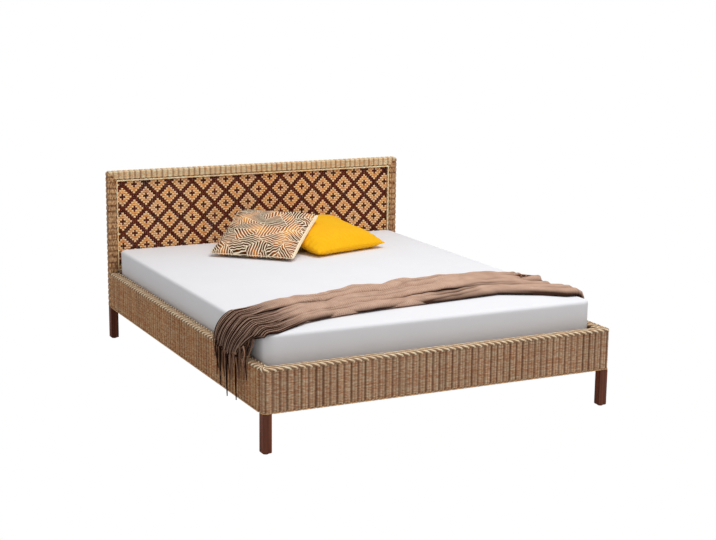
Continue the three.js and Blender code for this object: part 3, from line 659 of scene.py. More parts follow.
def frame_bar(strands, uprights, length, to_frame, reach):
    """Strands along a bar. to_frame turns (along, outer, back) into the bed's frame, and reach gives where a
    strand ends at a mitre by how near the outer edge it lies."""
    places, depth = ribs_to_end(length, FRAME_RIB_PITCH, FRAME_DIMPLE)
    # Painted shade in the gaps between the frame's ribs, with a random tone for each rib
    painted_light_and_tones = gap_shade_and_rib_tone(depth, FRAME_GAP_SHADE)
    origin = to_frame(*np.zeros((3, 1)))
    for number in range(FRAME_STRANDS):
        at, out = section(np.array([(number + 0.5) / FRAME_STRANDS]))
        slip = HAND_SLIP * uneven(places, 0.21)
        inward = STRAND_HALF_THICK + FRAME_GROOVE * depth + np.abs(slip)
        outer, back = (at[0] - out[0] * inward[:, None]).T
        start, end = reach(outer[0])
        kept = (places > start + MITRE_CLEAR) & (places < end - MITRE_CLEAR)
        along = np.concatenate([[start], places[kept], [end]])
        outer = np.interp(along, places, outer)
        back = np.interp(along, places, back)
        painted_light_and_tone = np.interp(along, places, painted_light_and_tones)
        away = to_frame(np.zeros(1), *out.T) - origin
        path = to_frame(along, outer, back)
        strands.lay(path, away[0], STRAND_HALF_WIDE, STRAND_HALF_THICK, tones(along - along[0]), painted_light_and_tone)
    ring = np.linspace(0, 1, 24, endpoint=False)
    at, out = section(ring, FRAME_STAKE_DEEP)
    away = to_frame(np.zeros(len(ring)), *out.T) - origin
    start, end = reach(0.0)
    for place in places[(depth == 1) & (places > start) & (places < end)]:
        path = to_frame(np.full(len(ring), place), *at.T)
        uprights.lay(path, away, *FRAME_STAKE_HALF, tone=random.random(), closed=True)


def round_corner(piece):
    """Rounds the outer corner of a mitred bar."""
    mesh = piece.data
    co = np.empty(len(mesh.vertices) * 3, np.float32)
    mesh.vertices.foreach_get("co", co)
    co = co.reshape(-1, 3)
    beyond_x = np.abs(co[:, 0]) - (board_half_x - FRAME_CORNER)
    beyond_z = co[:, 2] - (board_top - FRAME_CORNER)
    inside = (beyond_x > 0) & (beyond_z > 0)
    shrink = np.maximum(beyond_x, beyond_z) / np.maximum(np.hypot(beyond_x, beyond_z), 1e-9)
    moved_x = np.sign(co[:, 0]) * (board_half_x - FRAME_CORNER + beyond_x * shrink)
    co[inside, 0] = moved_x[inside]
    co[inside, 2] = (board_top - FRAME_CORNER + beyond_z * shrink)[inside]
    mesh.vertices.foreach_set("co", co.ravel())


def frame_pieces(name, strands, uprights, replaced, strand_finish):
    for part, gathered, finished in (("rows", strands, strand_finish), ("stakes", uprights, stake_cane)):
        round_corner(gathered.piece(f"{name}_{part}", finished, replaced, "wicker"))


def top_bar_place(along, outer, back):
    places = (along - board_half_x, board_centre_y + back, board_top - FRAME_FACE / 2 + outer)
    return np.column_stack(np.broadcast_arrays(*places))


def stile_place(sign):
    def place(along, outer, back):
        x = sign * (board_half_x - FRAME_FACE / 2 + outer)
        return np.column_stack(np.broadcast_arrays(x, board_centre_y - sign * back, stile_low.z + along))

    return place


# Lit and shaded copies of one frame wicker: the top rail's is paler as painted light from above, and the
# stiles' darker as painted shade. The panel beads wear the top rail's paler copy.
top_rail_lit_tints = (paint(255, 252, 214), paint(255, 196, 132), paint(130, 66, 26))
stile_shaded_tints = (paint(255, 210, 158), paint(160, 106, 64), paint(104, 52, 24))
top_rail_lit_wicker = finish("top_rail_lit_wicker", cane(*top_rail_lit_tints), DRY)
stile_shaded_wicker = finish("stile_shaded_wicker", cane(*stile_shaded_tints, mottle=5.5), DRY)
strands, uprights = Strands(), Strands()
frame_bar(strands, uprights, 2 * board_half_x, top_bar_place,
          lambda outer: (FRAME_FACE / 2 - outer, 2 * board_half_x - FRAME_FACE / 2 + outer))
frame_pieces("headboard_top_wicker", strands, uprights, "headboard_top_weave", top_rail_lit_wicker)

stile_height = board_top - stile_low.z
for side, sign in (("left", -1), ("right", 1)):
    strands, uprights = Strands(), Strands()
    frame_bar(strands, uprights, stile_height, stile_place(sign),
              lambda outer: (0.0, stile_height - FRAME_FACE / 2 + outer))
    replaced = f"headboard_stile_weave_{side}"
    frame_pieces(f"headboard_stile_wicker_{side}", strands, uprights, replaced, stile_shaded_wicker)

LOWER_PAIRS = 16
low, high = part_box("headboard_lower_weave")
places, depth = ribs_to_end(high.x - low.x, RIB_PITCH)
rows, uprights = Strands(), Strands(6)
front = straight((low.x, low.y, 0), (1, 0, 0), (0, -1, 0))
back = straight((low.x, high.y, 0), (1, 0, 0), (0, 1, 0))
for face in (front, back):
    weave_face(rows, face, places, depth, paired_rows(low.z, high.z, LOWER_PAIRS))
    stakes(uprights, face, places[depth == 1], low.z, high.z, THIN_STAKE_HALF, THIN_STAKE_DEEP)
for part, gathered, finished in (("rows", rows, wicker), ("stakes", uprights, stake_cane)):
    gathered.piece(f"headboard_lower_wicker_{part}", finished, "headboard_lower_weave", "wicker")


# Woven panel: upright strands stained brown and natural ones across, woven one by one. The natural strands
# float over up to five brown ones and make stepped diamonds, each with a brown cross at its centre.
CELL_WIDE = 0.01073
CELL_HIGH = 0.0109
FIRST_DIAMOND_IN = 0.027
FIRST_DIAMOND_DOWN = 0.0195
PERIOD = 12
DIAMOND_REACH = 4
CROSS_REACH = 1
PANEL_BEAD = 0.010
PANEL_EDGE = 0.003
BROWN_HALF = (0.0056, 0.0011)
STRAW_HALF = (0.0056, 0.0012)
WEAVE_SWING = 0.00125
WEAVE_DEEP = 0.0022
WEAVE_SLIP = 0.0003

panel_low, panel_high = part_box("panel_brown_layer")
first_x = panel_low.x + PANEL_BEAD + FIRST_DIAMOND_IN
first_z = panel_high.z - PANEL_BEAD - FIRST_DIAMOND_DOWN
columns = np.arange(int(np.ceil((panel_low.x + PANEL_EDGE - first_x) / CELL_WIDE)),
                    int((panel_high.x - PANEL_EDGE - first_x) / CELL_WIDE) + 1)
lines = np.arange(int(np.ceil((first_z - panel_high.z + PANEL_EDGE) / CELL_HIGH)),
                  int((first_z - panel_low.z - PANEL_EDGE) / CELL_HIGH) + 1)


def from_centre(place, centre):
    """Cells from the nearest diamond centre, along one way of the weave."""
    return np.abs((place - centre + PERIOD // 2) % PERIOD - PERIOD // 2)


def straw_on_top(column, line):
    """True where the natural strand lies over the brown one."""
    straw = np.zeros(np.broadcast(column, line).shape, bool)
    for centre in ((PERIOD // 2, 0), (0, PERIOD // 2)):
        steps = from_centre(column, centre[0]) + from_centre(line, centre[1])
        straw |= (steps <= DIAMOND_REACH) & (steps > CROSS_REACH)
    return straw


def swings(over, midway):
    """Depth at each crossing and midway between two, from -1 at the front to 1 behind."""
    depth = np.where(over, -1.0, 1.0)
    between = np.where(depth[1:] == depth[:-1], depth[1:], midway)
    return np.insert(depth, np.arange(1, len(depth)), between)


over = straw_on_top(columns[:, None], lines[None])
weave_y = panel_low.y + WEAVE_DEEP
browns, straws = Strands(6), Strands(6)
for column, straw in zip(columns, over):
    depth = swings(~straw, -0.5)
    level = np.interp(np.arange(len(depth)) / 2, np.arange(len(lines)), first_z - lines * CELL_HIGH)
    level[[0, -1]] = panel_high.z, panel_low.z
    x = first_x + column * CELL_WIDE + WEAVE_SLIP * uneven(level, 0.2)
    path = np.column_stack([x, weave_y + WEAVE_SWING * depth, level])
    width = BROWN_HALF[0] * (1 - 0.12 * (depth > 0))
    # Brown strands are darkened with painted shade where they lie behind the natural ones
    browns.lay(path, (0, -1, 0), width, BROWN_HALF[1], tones(level[0] - level), 0.35 * (depth > -0.4))
for line, straw in zip(lines, over.T):
    depth = swings(straw, 0.1)
    x = np.interp(np.arange(len(depth)) / 2, np.arange(len(columns)), first_x + columns * CELL_WIDE)
    x[[0, -1]] = panel_low.x, panel_high.x
    level = first_z - line * CELL_HIGH + WEAVE_SLIP * uneven(x, 0.2)
    path = np.column_stack([x, weave_y + (WEAVE_SWING + 0.0002) * depth, level])
    # Painted highlight at the ends of each natural float, where the strand turns under
    end = np.convolve(depth > -1, [1, 1, 1], "same") * (depth <= 0.1) > 0
    straws.lay(path, (0, -1, 0), *STRAW_HALF, tones(x - x[0]) * 0.6, 1.0 * end)

brown_cane = finish("brown_cane", cane(paint(112, 46, 22), paint(70, 24, 10), paint(38, 12, 4)), DRY)
# The natural cane's third colour is pale: a painted highlight, used at the float ends
straw_cane = finish("straw_cane", cane(paint(255, 190, 122), paint(214, 134, 70), paint(255, 220, 166)), DRY)
for name, gathered, finished, node, slot in (
    ("panel_brown_strands", browns, brown_cane, "panel_brown_layer", "brown_cane"),
    ("panel_natural_strands", straws, straw_cane, "panel_natural_layer", "straw_cane"),
):
    gathered.piece(name, finished, node, slot)


# Panel beads: a rope of two pale strands over a flat one, nailed round the panel on each face. It hides the
# line where the woven panel is cut off and held against the frame.
BEAD_RADIUS = 0.005
BEAD_BACK_RADIUS = 0.003
BEAD_LAY = 0.05
for face_name, out in (("front", -1), ("back", 1)):
    low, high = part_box(f"panel_bead_{face_name}")
    half_x, half_z = (high.x - low.x) / 2, (high.z - low.z) / 2
    at, spans, arc = round_end_bar(half_x, half_z, BEAD_RADIUS, (high.z + low.z) / 2)
    places = np.arange(0, sum(spans) + 4 * arc, BEAD_LAY / 8)
    point, away = at(places)
    point, away = point[:, [0, 2, 1]], away[:, [0, 2, 1]]
    point = point - away * BEAD_RADIUS
    bead = Strands(6)
    front_y, back_y = (low.y, high.y) if out < 0 else (high.y, low.y)
    for start in (0, np.pi):
        angle = start + 2 * np.pi * places / BEAD_LAY
        swing = away * np.cos(angle)[:, None] + np.outer(np.sin(angle), [0, out, 0])
        point[:, 1] = front_y - out * BEAD_RADIUS
        path = point + swing * BEAD_RADIUS * 0.42
        bead.lay(path, swing, BEAD_RADIUS * 0.66, BEAD_RADIUS * 0.58, tones(places), closed=True)
    point[:, 1] = back_y + out * BEAD_BACK_RADIUS
    # The flat strand under the rope is darkened with painted shade
    bead.lay(point, (0, out, 0), BEAD_RADIUS, BEAD_BACK_RADIUS, tones(places), 0.5, closed=True)
    bead.piece(f"panel_bead_rope_{face_name}", top_rail_lit_wicker, f"panel_bead_{face_name}", "border_cane")


# Mattress: a foam block in quilted ticking, under a fitted cotton jersey sheet. The sheet is pulled over the
# corners and tucked under, where elastic gathers its hem, so it lies smooth on top and ripples at the sides.
MATTRESS_CORNER = 0.045
MATTRESS_EDGE = 0.015
BODY_INSET = 0.007
BODY_TOP_INSET = 0.0024
BODY_UNDERSIDE = 0.70
OUTLINE_RING = 30
SHEET_TUCK = 0.11
SHEET_THICK = 0.0011
SHEET_UNDER = 0.0004
RIPPLE = 0.0011
GATHER_HIGH = 0.0008

mattress_low, mattress_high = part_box("mattress")
mattress_centre = (mattress_low + mattress_high) / 2
mattress_half = (mattress_high - mattress_low) / 2


def plan_ring(inset, samples_long=96, samples_short=80, samples_corner=10):
    """Points round the mattress's plan, drawn in by an inset, from the foot's left corner on."""
    radius = max(MATTRESS_CORNER - inset, 0.012)
    half_x, half_y = mattress_half.x - inset - radius, mattress_half.y - inset - radius
    corners = np.array([(-half_x, -half_y), (half_x, -half_y), (half_x, half_y), (-half_x, half_y)])
    ring = []
    for number, span in enumerate((samples_short, samples_long) * 2):
        angle = np.pi + number * np.pi / 2 + np.linspace(0, np.pi / 2, samples_corner, endpoint=False)
        ring.append(corners[number] + radius * np.column_stack([np.cos(angle), np.sin(angle)]))
        last = np.pi * 1.5 + number * np.pi / 2
        aside = radius * np.array([np.cos(last), np.sin(last)])
        share = np.linspace(0, 1, span, endpoint=False)[:, None]
        ring.append(corners[number] + aside + (corners[(number + 1) % 4] - corners[number]) * share)
    return np.concatenate(ring)


def shell_rings(inset, low, high, tuck, top_rings=26, side_rings=16):
    """Rings from the middle of the top out, down the side and under, with how far down each one is."""
    rings, levels = [], []

    def add(ring_inset, z, level, share=1.0):
        ring = plan_ring(ring_inset) * share
        rings.append(np.column_stack([ring, np.full(len(ring), z)]))
        levels.append(level)

    edge = MATTRESS_EDGE
    for share in np.linspace(0.03, 1, top_rings, endpoint=False):
        add(inset + edge, high, 0.0, share)
    for angle in np.linspace(0, np.pi / 2, 7):
        add(inset + edge * (1 - np.sin(angle)), high - edge * (1 - np.cos(angle)), 0.5 * angle / np.pi)
    for drop in np.linspace(0, 1, side_rings)[1:-1]:
        add(inset, high - edge - drop * (high - low - 2 * edge), 0.25 + 0.5 * drop)
    for angle in np.linspace(np.pi / 2, 0, 6):
        add(inset + edge * (1 - np.sin(angle)), low + edge * (1 - np.cos(angle)), 1 - 0.5 * angle / np.pi)
    for reach in np.linspace(0, tuck, 6)[1:]:
        add(inset + edge + reach, low, 1.0)
    return np.array(rings), np.array(levels)


def ringed_mesh(name, rings, closed_foot):
    count, around = rings.shape[:2]
    row, k = np.arange(count - 1)[:, None] * around, np.arange(around)[None]
    ahead = (k + 1) % around
    quads = np.stack([row + k, row + around + k, row + around + ahead, row + ahead], -1)
    corners = [quads.reshape(-1), np.arange(around)]
    totals = [np.full((count - 1) * around, 4), [around]]
    if closed_foot:
        corners.append((count - 1) * around + np.arange(around)[::-1])
        totals.append([around])
    return mesh_of(name, rings.reshape(-1, 3), np.concatenate(corners), np.concatenate(totals))


def jersey(wire):
    place = wire.node("TexCoord", output="Object")
    knit = place.noise(900.0, 1.0)
    soft = place.noise(5.0, 3.0)
    return {
        "Base Color": (soft * 0.8 + knit * 0.2).mix(paint(236, 236, 240), paint(243, 243, 246)),
        "Roughness": 0.82 + knit * 0.12,
        "Normal": (knit * 0.3 + place.noise(38.0, 2.0)).bump(0.12, 0.0012),
    }


def ticking(wire):
    place = wire.node("TexCoord", output="Object")
    weave = place.noise(600.0, 1.0)
    stripe = (place.part(0) * 420.0).math("SINE") * 0.5 + 0.5
    return {
        "Base Color": (stripe * 0.5 + weave * 0.5).mix(paint(206, 204, 200), paint(228, 226, 222)),
        "Roughness": 0.8 + weave * 0.15,
        "Normal": (weave + stripe * 0.3).bump(0.3, 0.0006),
    }


def thicken(cloth, thickness):
    """Gives a cloth its thickness, half to each side."""
    thick = cloth.modifiers.new("cloth_thickness", "SOLIDIFY")
    thick.thickness = thickness
    thick.offset = 0


sheet_foot = mattress_low.z + SHEET_UNDER
middle = [mattress_centre.x, mattress_centre.y, 0]
body_top = mattress_high.z - BODY_TOP_INSET
body_rings, _ = shell_rings(BODY_INSET, sheet_foot + 2 * SHEET_THICK, body_top, BODY_UNDERSIDE)
body_mesh = ringed_mesh("mattress_foam", body_rings + middle, True)
mattress_body = shown("mattress_foam", body_mesh, finish("ticking", ticking), "mattress", "sheet_cotton")

sheet_low, sheet_top = sheet_foot + SHEET_THICK, mattress_high.z - SHEET_THICK
sheet_rings, levels = shell_rings(SHEET_THICK, sheet_low, sheet_top, SHEET_TUCK)
outline = sheet_rings[OUTLINE_RING]
around = np.concatenate([[0], np.cumsum(np.linalg.norm(np.diff(outline, axis=0), axis=1))])
beyond = np.abs(outline[:, :2]) - np.array(mattress_half.xy)
near_corner = np.exp(-(np.hypot(*beyond.T) / 0.16) ** 2)
ripples = uneven(around, 0.31) * 0.6 + uneven(around, 0.085) * (0.3 + 0.9 * near_corner)
gathers = uneven(around, 0.036)
outward = np.sign(outline[:, :2]) * (beyond > -0.05)
for level, ring in zip(levels, sheet_rings):
    swell = np.clip(level * 4, 0, 1) * np.clip(level * 1.6, 0.35, 1)
    inward = RIPPLE * swell * (1 - ripples) * (level < 1)
    ring[:, :2] -= outward * inward[:, None]
    ring[:, 2] += GATHER_HIGH * gathers * (level == 1)
sheet_mesh = ringed_mesh("fitted_sheet", sheet_rings + middle, False)
fitted_sheet = shown("fitted_sheet", sheet_mesh, finish("jersey", jersey), "mattress", "sheet_cotton")
thicken(fitted_sheet, SHEET_THICK)


# Cushions: each is a case of two square cotton panels, sewn together and stuffed with fibre, so that the
# sides draw in and the seams pucker. The printed one leans on the yellow one.
CASE_CELLS = 56
CASE_START = 0.86
CASE_PRESSURE = 4.0
CASE_FRAMES = 20
CASE_REACH = 0.014
CUSHION_THICK = 0.130
CUSHION_PULL_IN = 0.005
CUSHION_CROWN = 0.42
CORNER_SOFTENING = 0.03
PUCKERS = 17
PUCKER_DEEP = 0.27
PUCKER_REACH = 0.18
SEAM_HIGH = 0.017
CASE_DEEP = 0.007
SEAM_RADIUS = 0.0018
SEAT_GAP = 0.0004
LEAN_GAP = 0.0012
LOOK_DOWN_FROM = 0.4


def sewn_case(name, side):
    """Two square grids that share their rim. Gives the mesh, each point's place in the cut and the rim."""
    cells = CASE_CELLS
    line = np.linspace(-0.5, 0.5, cells + 1)
    wide, up = np.meshgrid(line, line)
    rim = (np.abs(wide) > 0.4999) | (np.abs(up) > 0.4999)
    top = np.arange((cells + 1) ** 2).reshape(cells + 1, cells + 1)
    under = np.where(rim, top, -1)
    under[~rim] = (cells + 1) ** 2 + np.arange((~rim).sum())
    upper = np.column_stack([wide.ravel(), up.ravel(), np.where(rim, 0, 1).ravel()])
    lower = np.column_stack([wide[~rim], up[~rim], np.full((~rim).sum(), -1)])
    cut = np.concatenate([upper, lower])
    cut[:, :2] *= side
    above = np.stack([top[:-1, :-1], top[:-1, 1:], top[1:, 1:], top[1:, :-1]], -1)
    below = np.stack([under[:-1, :-1], under[1:, :-1], under[1:, 1:], under[:-1, 1:]], -1)
    corners = np.concatenate([above.reshape(-1), below.reshape(-1)])
    mesh = mesh_of(name, crowned(cut, side), corners, np.full(2 * cells * cells, 4))
    note(mesh, "cut", cut)
    rim_loop = np.concatenate([top[0, :-1], top[:-1, -1], top[-1, :0:-1], top[:0:-1, 0]])
    return mesh, cut, rim_loop


def crowned(cut, side):
    """The case filled evenly: round in section, drawn in between its corners, which are a little soft."""
    u, v = 2 * cut[:, 0] / side, 2 * cut[:, 1] / side
    crown = np.clip((1 - u * u) * (1 - v * v), 0, 1) ** CUSHION_CROWN
    x = cut[:, 0] - CUSHION_PULL_IN * u**3 * (1 - v * v)
    y = cut[:, 1] - CUSHION_PULL_IN * v**3 * (1 - u * u)
    soft = 1 - CORNER_SOFTENING * np.abs(u * v) ** 6
    return np.column_stack([x * soft, y * soft, np.sign(cut[:, 2]) * crown * CUSHION_THICK / 2])


def stuffed(mesh, cut, side):
    """The case swollen by its stuffing, scaled to its finished size and puckered along the seam."""
    start = crowned(cut, side)
    points = start.copy()
    start[:, 2] *= CASE_START
    mesh.vertices.foreach_set("co", start.astype(np.float32).ravel())
    piece = bpy.data.objects.new(mesh.name + "_stuffing", mesh)
    bpy.context.scene.collection.objects.link(piece)
    cloth = piece.modifiers.new("stuffing", "CLOTH")
    cloth.settings.quality = 6
    cloth.settings.mass = 0.25
    cloth.settings.tension_stiffness = 12
    cloth.settings.compression_stiffness = 12
    cloth.settings.shear_stiffness = 5
    cloth.settings.bending_stiffness = 0.4
    cloth.settings.use_pressure = True
    cloth.settings.uniform_pressure_force = CASE_PRESSURE
    cloth.settings.effector_weights.gravity = 0
    cloth.collision_settings.use_collision = False
    cloth.point_cache.frame_start = 1
    cloth.point_cache.frame_end = CASE_FRAMES
    for number in range(1, CASE_FRAMES + 1):
        bpy.context.scene.frame_set(number)
    swollen = piece.evaluated_get(bpy.context.evaluated_depsgraph_get()).to_mesh()
    found = np.empty(len(mesh.vertices) * 3)
    swollen.vertices.foreach_get("co", found)
    bpy.context.scene.frame_set(1)
    bpy.data.objects.remove(piece)
    moved = found.reshape(-1, 3) - start
    far = np.linalg.norm(moved, axis=1)[:, None]
    points = start + moved * np.minimum(1, CASE_REACH / np.maximum(far, 1e-9))
    points -= (points.max(0) + points.min(0)) / 2
    points[:, :2] *= side / np.ptp(points[:, :2], axis=0).max()
    points[:, 2] *= CUSHION_THICK / np.ptp(points[:, 2])
    u, v = 2 * cut[:, 0] / side, 2 * cut[:, 1] / side
    along = np.where(np.abs(u) > np.abs(v), v, u)
    from_seam = 1 - np.maximum(np.abs(u), np.abs(v))
    phase = np.pi * PUCKERS * along + 2.2 * np.sin(5.0 * along) + 3.0 * u + 2.0 * cut[:, 2]
    fold = 0.5 + 0.5 * np.sin(phase)
    points[:, 2] *= 1 - PUCKER_DEEP * 2 * fold**2 * np.exp(-from_seam / PUCKER_REACH)
    return points


def laid(points, place, turn, tilt):
    """Points of a cushion turned, tilted and set down at its place, with the matrix that does it."""
    turned = Matrix.Rotation(turn, 4, "Z") @ Matrix.Rotation(tilt, 4, "X")
    move = np.array(Matrix.Translation(place) @ turned)
    return points @ move[:3, :3].T + move[:3, 3], move


def pressed_on_mattress(points, top):
    """Keeps the under face on the mattress, and the seam and the upper face above it."""
    points[:, 2] = np.maximum(points[:, 2], mattress_high.z + SEAT_GAP + SEAM_HIGH * top)
    return points


def leaned_on(points, top, other, move):
    """Lifts the points that would lie inside the other cushion to just over its upper face."""
    tree = BVHTree.FromObject(other, bpy.context.evaluated_depsgraph_get())
    up = Vector(move[:3, 2])
    for number, point in enumerate(points):
        hit, _, _, distance = tree.ray_cast(Vector(point) + up * LOOK_DOWN_FROM, -up)
        if hit is not None:
            lift = LOOK_DOWN_FROM - distance + LEAN_GAP + CASE_DEEP * top[number]
            if lift > 0:
                points[number] += np.array(up) * lift
    return points


def cotton(colour_of, thread):
    """Woven cotton in the colour of its print, seen at the places where it was cut."""

    def surface(wire):
        cut = wire.attribute("cut", "Vector")
        warp = (cut.part(0) * thread).math("SINE")
        weft = (cut.part(1) * thread).math("SINE")
        slub = cut.scaled((1.0, 9.0, 1.0)).noise(60.0, 2.0)
        return {
            "Base Color": colour_of(wire, cut, slub),
            "Roughness": 0.78 + slub * 0.15,
            "Normal": (warp * weft * 0.5 + slub + cut.noise(26.0, 2.0) * 2.0).bump(0.25, 0.0012),
        }

    return surface


def plain_yellow(wire, cut, slub):
    return (slub * 0.9 + cut.noise(9.0, 2.0) * 0.5 - 0.2).mix(paint(250, 172, 4), paint(255, 204, 24))


PATCHES_PER_METRE = 8.5
STROKES = 345.0
STROKE_SLANT = 0.9
STROKE_LEVEL = -0.45
SPINE_GAP = 0.0014
PATCH_GAP = 0.0006
INK_SPREAD = 9.0
PRINTED_HALF = 0.225
PLAIN_HEM = 0.009
BROWN_INK, OCHRE = paint(84, 40, 0), paint(178, 92, 4)
GOLD, CREAM = paint(224, 150, 28), paint(255, 238, 208)


def hatched_patches(wire, cut, slub):
    """A print on cream: patches hatched with slanted strokes on both sides of their own middle lines."""
    flat = cut.scaled((1.0, 1.0, 0.0))
    wobble = flat.noise(14.0, 1.0).scaled((0.02, 0.02, 0.0))
    flat = wire.node("VectorMath", {"operation": "ADD"}, {0: flat, 1: wobble})
    cells = {"Vector": flat, "Scale": PATCHES_PER_METRE, "Randomness": 0.9}
    chance = wire.node("TexVoronoi", {"voronoi_dimensions": "2D"}, cells, output="Color")
    middle = wire.node("TexVoronoi", {"voronoi_dimensions": "2D"}, cells, output="Position")
    to_edge = wire.node("TexVoronoi", {"voronoi_dimensions": "2D", "feature": "DISTANCE_TO_EDGE"}, cells)
    offset = wire.node("VectorMath", {"operation": "SUBTRACT"}, {0: flat, 1: middle})
    angle = chance.part(0) * (2 * np.pi)
    along = offset.part(0) * angle.math("COSINE") + offset.part(1) * angle.math("SINE")
    aside = offset.part(1) * angle.math("COSINE") - offset.part(0) * angle.math("SINE")
    far_aside = aside.math("ABSOLUTE")
    strokes = ((far_aside * STROKE_SLANT + along) * STROKES).math("SINE").math("GREATER_THAN", STROKE_LEVEL)
    beside = far_aside.math("GREATER_THAN", SPINE_GAP)
    within = to_edge.math("GREATER_THAN", PATCH_GAP * PATCHES_PER_METRE)
    printed_area = cut.part(0).math("LESS_THAN", PRINTED_HALF - PLAIN_HEM)
    ink = strokes * beside * within * printed_area
    drift = flat.noise(INK_SPREAD, 1.0)
    dyed = (drift * 6.0 - 2.5).mix(BROWN_INK, (drift * 6.0 - 3.2).mix(OCHRE, GOLD))
    return (ink * (0.9 + slub * 0.2)).mix(CREAM, dyed)


def cushion(name, side, place, turn, tilt, material, slot, under=None):
    """One cushion, set down on the mattress and on the cushion that lies under it, if there is one."""
    mesh, cut, rim_loop = sewn_case(f"{name}_case", side)
    points, move = laid(stuffed(mesh, cut, side), place, turn, tilt)
    top = (cut[:, 2] >= 0).astype(float)
    if under is not None:
        points = leaned_on(points, top, *under)
    points = pressed_on_mattress(points, top)
    mesh.vertices.foreach_set("co", points.astype(np.float32).ravel())
    piece = shown(f"{name}_case", mesh, material, name, slot)
    smooth = piece.modifiers.new("smooth", "SUBSURF")
    smooth.levels = smooth.render_levels = 1
    seam = Strands(6)
    seam.lay(points[rim_loop], move[:3, 2], SEAM_RADIUS, SEAM_RADIUS, closed=True)
    edging = seam.piece(f"{name}_seam", material, name, slot)
    note(edging.data, "cut", np.full((len(edging.data.vertices), 3), side / 2))
    return piece, move


YELLOW = (0.470, 0.230, 0.343, 0.066, 16.0, 9.5)
PRINTED = (2 * PRINTED_HALF, -0.118, 0.364, 0.097, -42.0, 20.0)


def seat(figures):
    """A cushion's side, place, turn and tilt. Its figures count from the middle of the mattress's head."""
    side, x, from_head, rise, turn, tilt = figures
    place = Vector((x, mattress_high.y - from_head, mattress_high.z + rise))
    return side, place, np.radians(turn), np.radians(tilt)


SOFT_COTTON = {"Specular IOR Level": 0.15, "Sheen Weight": 0.04}
yellow_cotton = finish("yellow_cotton", cotton(plain_yellow, 2600.0), SOFT_COTTON)
printed_cotton = finish("printed_cotton", cotton(hatched_patches, 2600.0), SOFT_COTTON)
yellow = cushion("cushion_yellow", *seat(YELLOW), yellow_cotton, "yellow_cotton")
cushion("cushion_printed", *seat(PRINTED), printed_cotton, "printed_cotton", under=yellow)


# Throw: a coarse wool twill, 1.30 by 1.80 m, gathered lengthwise into three rolls and laid across the foot
# of the bed. Its left end falls over the rail in a fan of pleats, and both ends have a knotted fringe.
CLOTH_THICK = 0.0032
CLOTH_STAND_OFF = 0.0018
DRAPE_BULGE = 0.008
RIGHT_HEM_HEIGHT = 0.456
LOWEST_HEM = 0.345
ALONG_STEPS = 170
ACROSS_STEPS = 250
LYING_FLAT = 0.0016
FAN_FROM, FAN_REACH = 0.50, 0.30
FAN_HIGH = 0.021
DRAPE_SHADE = 0.74
PLEATS = 13
PLEAT_DEEP = 0.009
FINE_PLEATS = 28
FINE_PLEAT_DEEP = 0.003
TUCKS = 50
TUCK_SHADE = 0.62
LONG_FOLD_DEEP = 0.0075
RUMPLE_HIGH = 0.0022
UNDER_LAYER = 0.35
TURNED_UNDER_SHADE = 0.75
# Where the foot and head edges lie, as shares of the bed's length, at shares of the cloth's length from its
# right hem
CLOTH_EDGE_SHARES = np.array([
    [0, 0.085, 0.3],
    [0.05, 0.09, 0.325],
    [0.1, 0.125, 0.345],
    [0.2, 0.165, 0.358],
    [0.41, 0.148, 0.32],
    [0.47, 0.143, 0.297],
    [0.55, 0.137, 0.312],
    [0.62, 0.128, 0.302],
    [0.67, 0.120, 0.268],
    [0.72, 0.113, 0.286],
    [0.78, 0.096, 0.262],
    [0.88, 0.045, 0.234],
    [0.945, 0.04, 0.235],
    [1, 0.07, 0.236],
])
# The height of the left hem from its foot corner to its head corner, as shares across and heights
LEFT_HEM = np.array([(0, 0.452), (0.1, 0.415), (0.25, 0.372), (0.5, LOWEST_HEM), (0.75, 0.358), (1, 0.374)])
foot_face_y = foot_low.y + BEAD_PROUD
bed_length = cad_bounds[1].y - foot_face_y


def spline(points, count):
    """A smooth curve through points, which may be arrays of places, at even steps of their list."""
    points = np.asarray(points, float)
    t = np.linspace(0, len(points) - 1, count)
    k = np.clip(t.astype(int), 0, len(points) - 2)
    f = (t - k).reshape(-1, *[1] * (points.ndim - 1))
    before, after = points[np.maximum(k - 1, 0)], points[np.minimum(k + 2, len(points) - 1)]
    a, b = points[k], points[k + 1]
    bend = 2 * before - 5 * a + 4 * b - after
    return 0.5 * (2 * a + (b - before) * f + bend * f**2 + (3 * a - before - 3 * b + after) * f**3)


def cloth_line():
    """The line that the cloth lies along, from the right hem to the lowest left one: x, z, the way out, how
    far along each point is, and how far along the cloth leaves the mattress on the left."""
    half = mattress_half.x
    arc_x, arc_z = half - MATTRESS_EDGE, mattress_high.z - MATTRESS_EDGE
    radius = MATTRESS_EDGE + CLOTH_STAND_OFF
    turn = np.linspace(np.pi / 2, 0, 8, endpoint=False)
    line = [(arc_x + radius * np.sin(angle), arc_z + radius * np.cos(angle)) for angle in turn]
    line[0] = (line[0][0], RIGHT_HEM_HEIGHT)
    line += [(x, arc_z + radius) for x in np.linspace(arc_x, -arc_x, 60)]
    leave = np.array([-arc_x - radius * 0.5, arc_z + radius * 0.866])
    drape_x = board_half_x + DRAPE_BULGE
    bend = np.array([-drape_x, leave[1] - (drape_x + leave[0]) * 0.577])
    t = np.linspace(0, 1, 14)[:, None]
    curve = (1 - t) ** 2 * leave + 2 * t * (1 - t) * bend + t**2 * np.array([-drape_x, rail_top])
    left_at = len(line)
    line += [tuple(point) for point in curve]
    line += [(-drape_x, z) for z in np.linspace(rail_top, LOWEST_HEM, 5)[1:]]
    line = np.array(line)
    run = np.concatenate([[0], np.cumsum(np.linalg.norm(np.diff(line, axis=0), axis=1))])
    way = np.gradient(line, axis=0)
    way /= np.linalg.norm(way, axis=1)[:, None]
    return line, np.column_stack([way[:, 1], -way[:, 0]]), run, run[left_at]


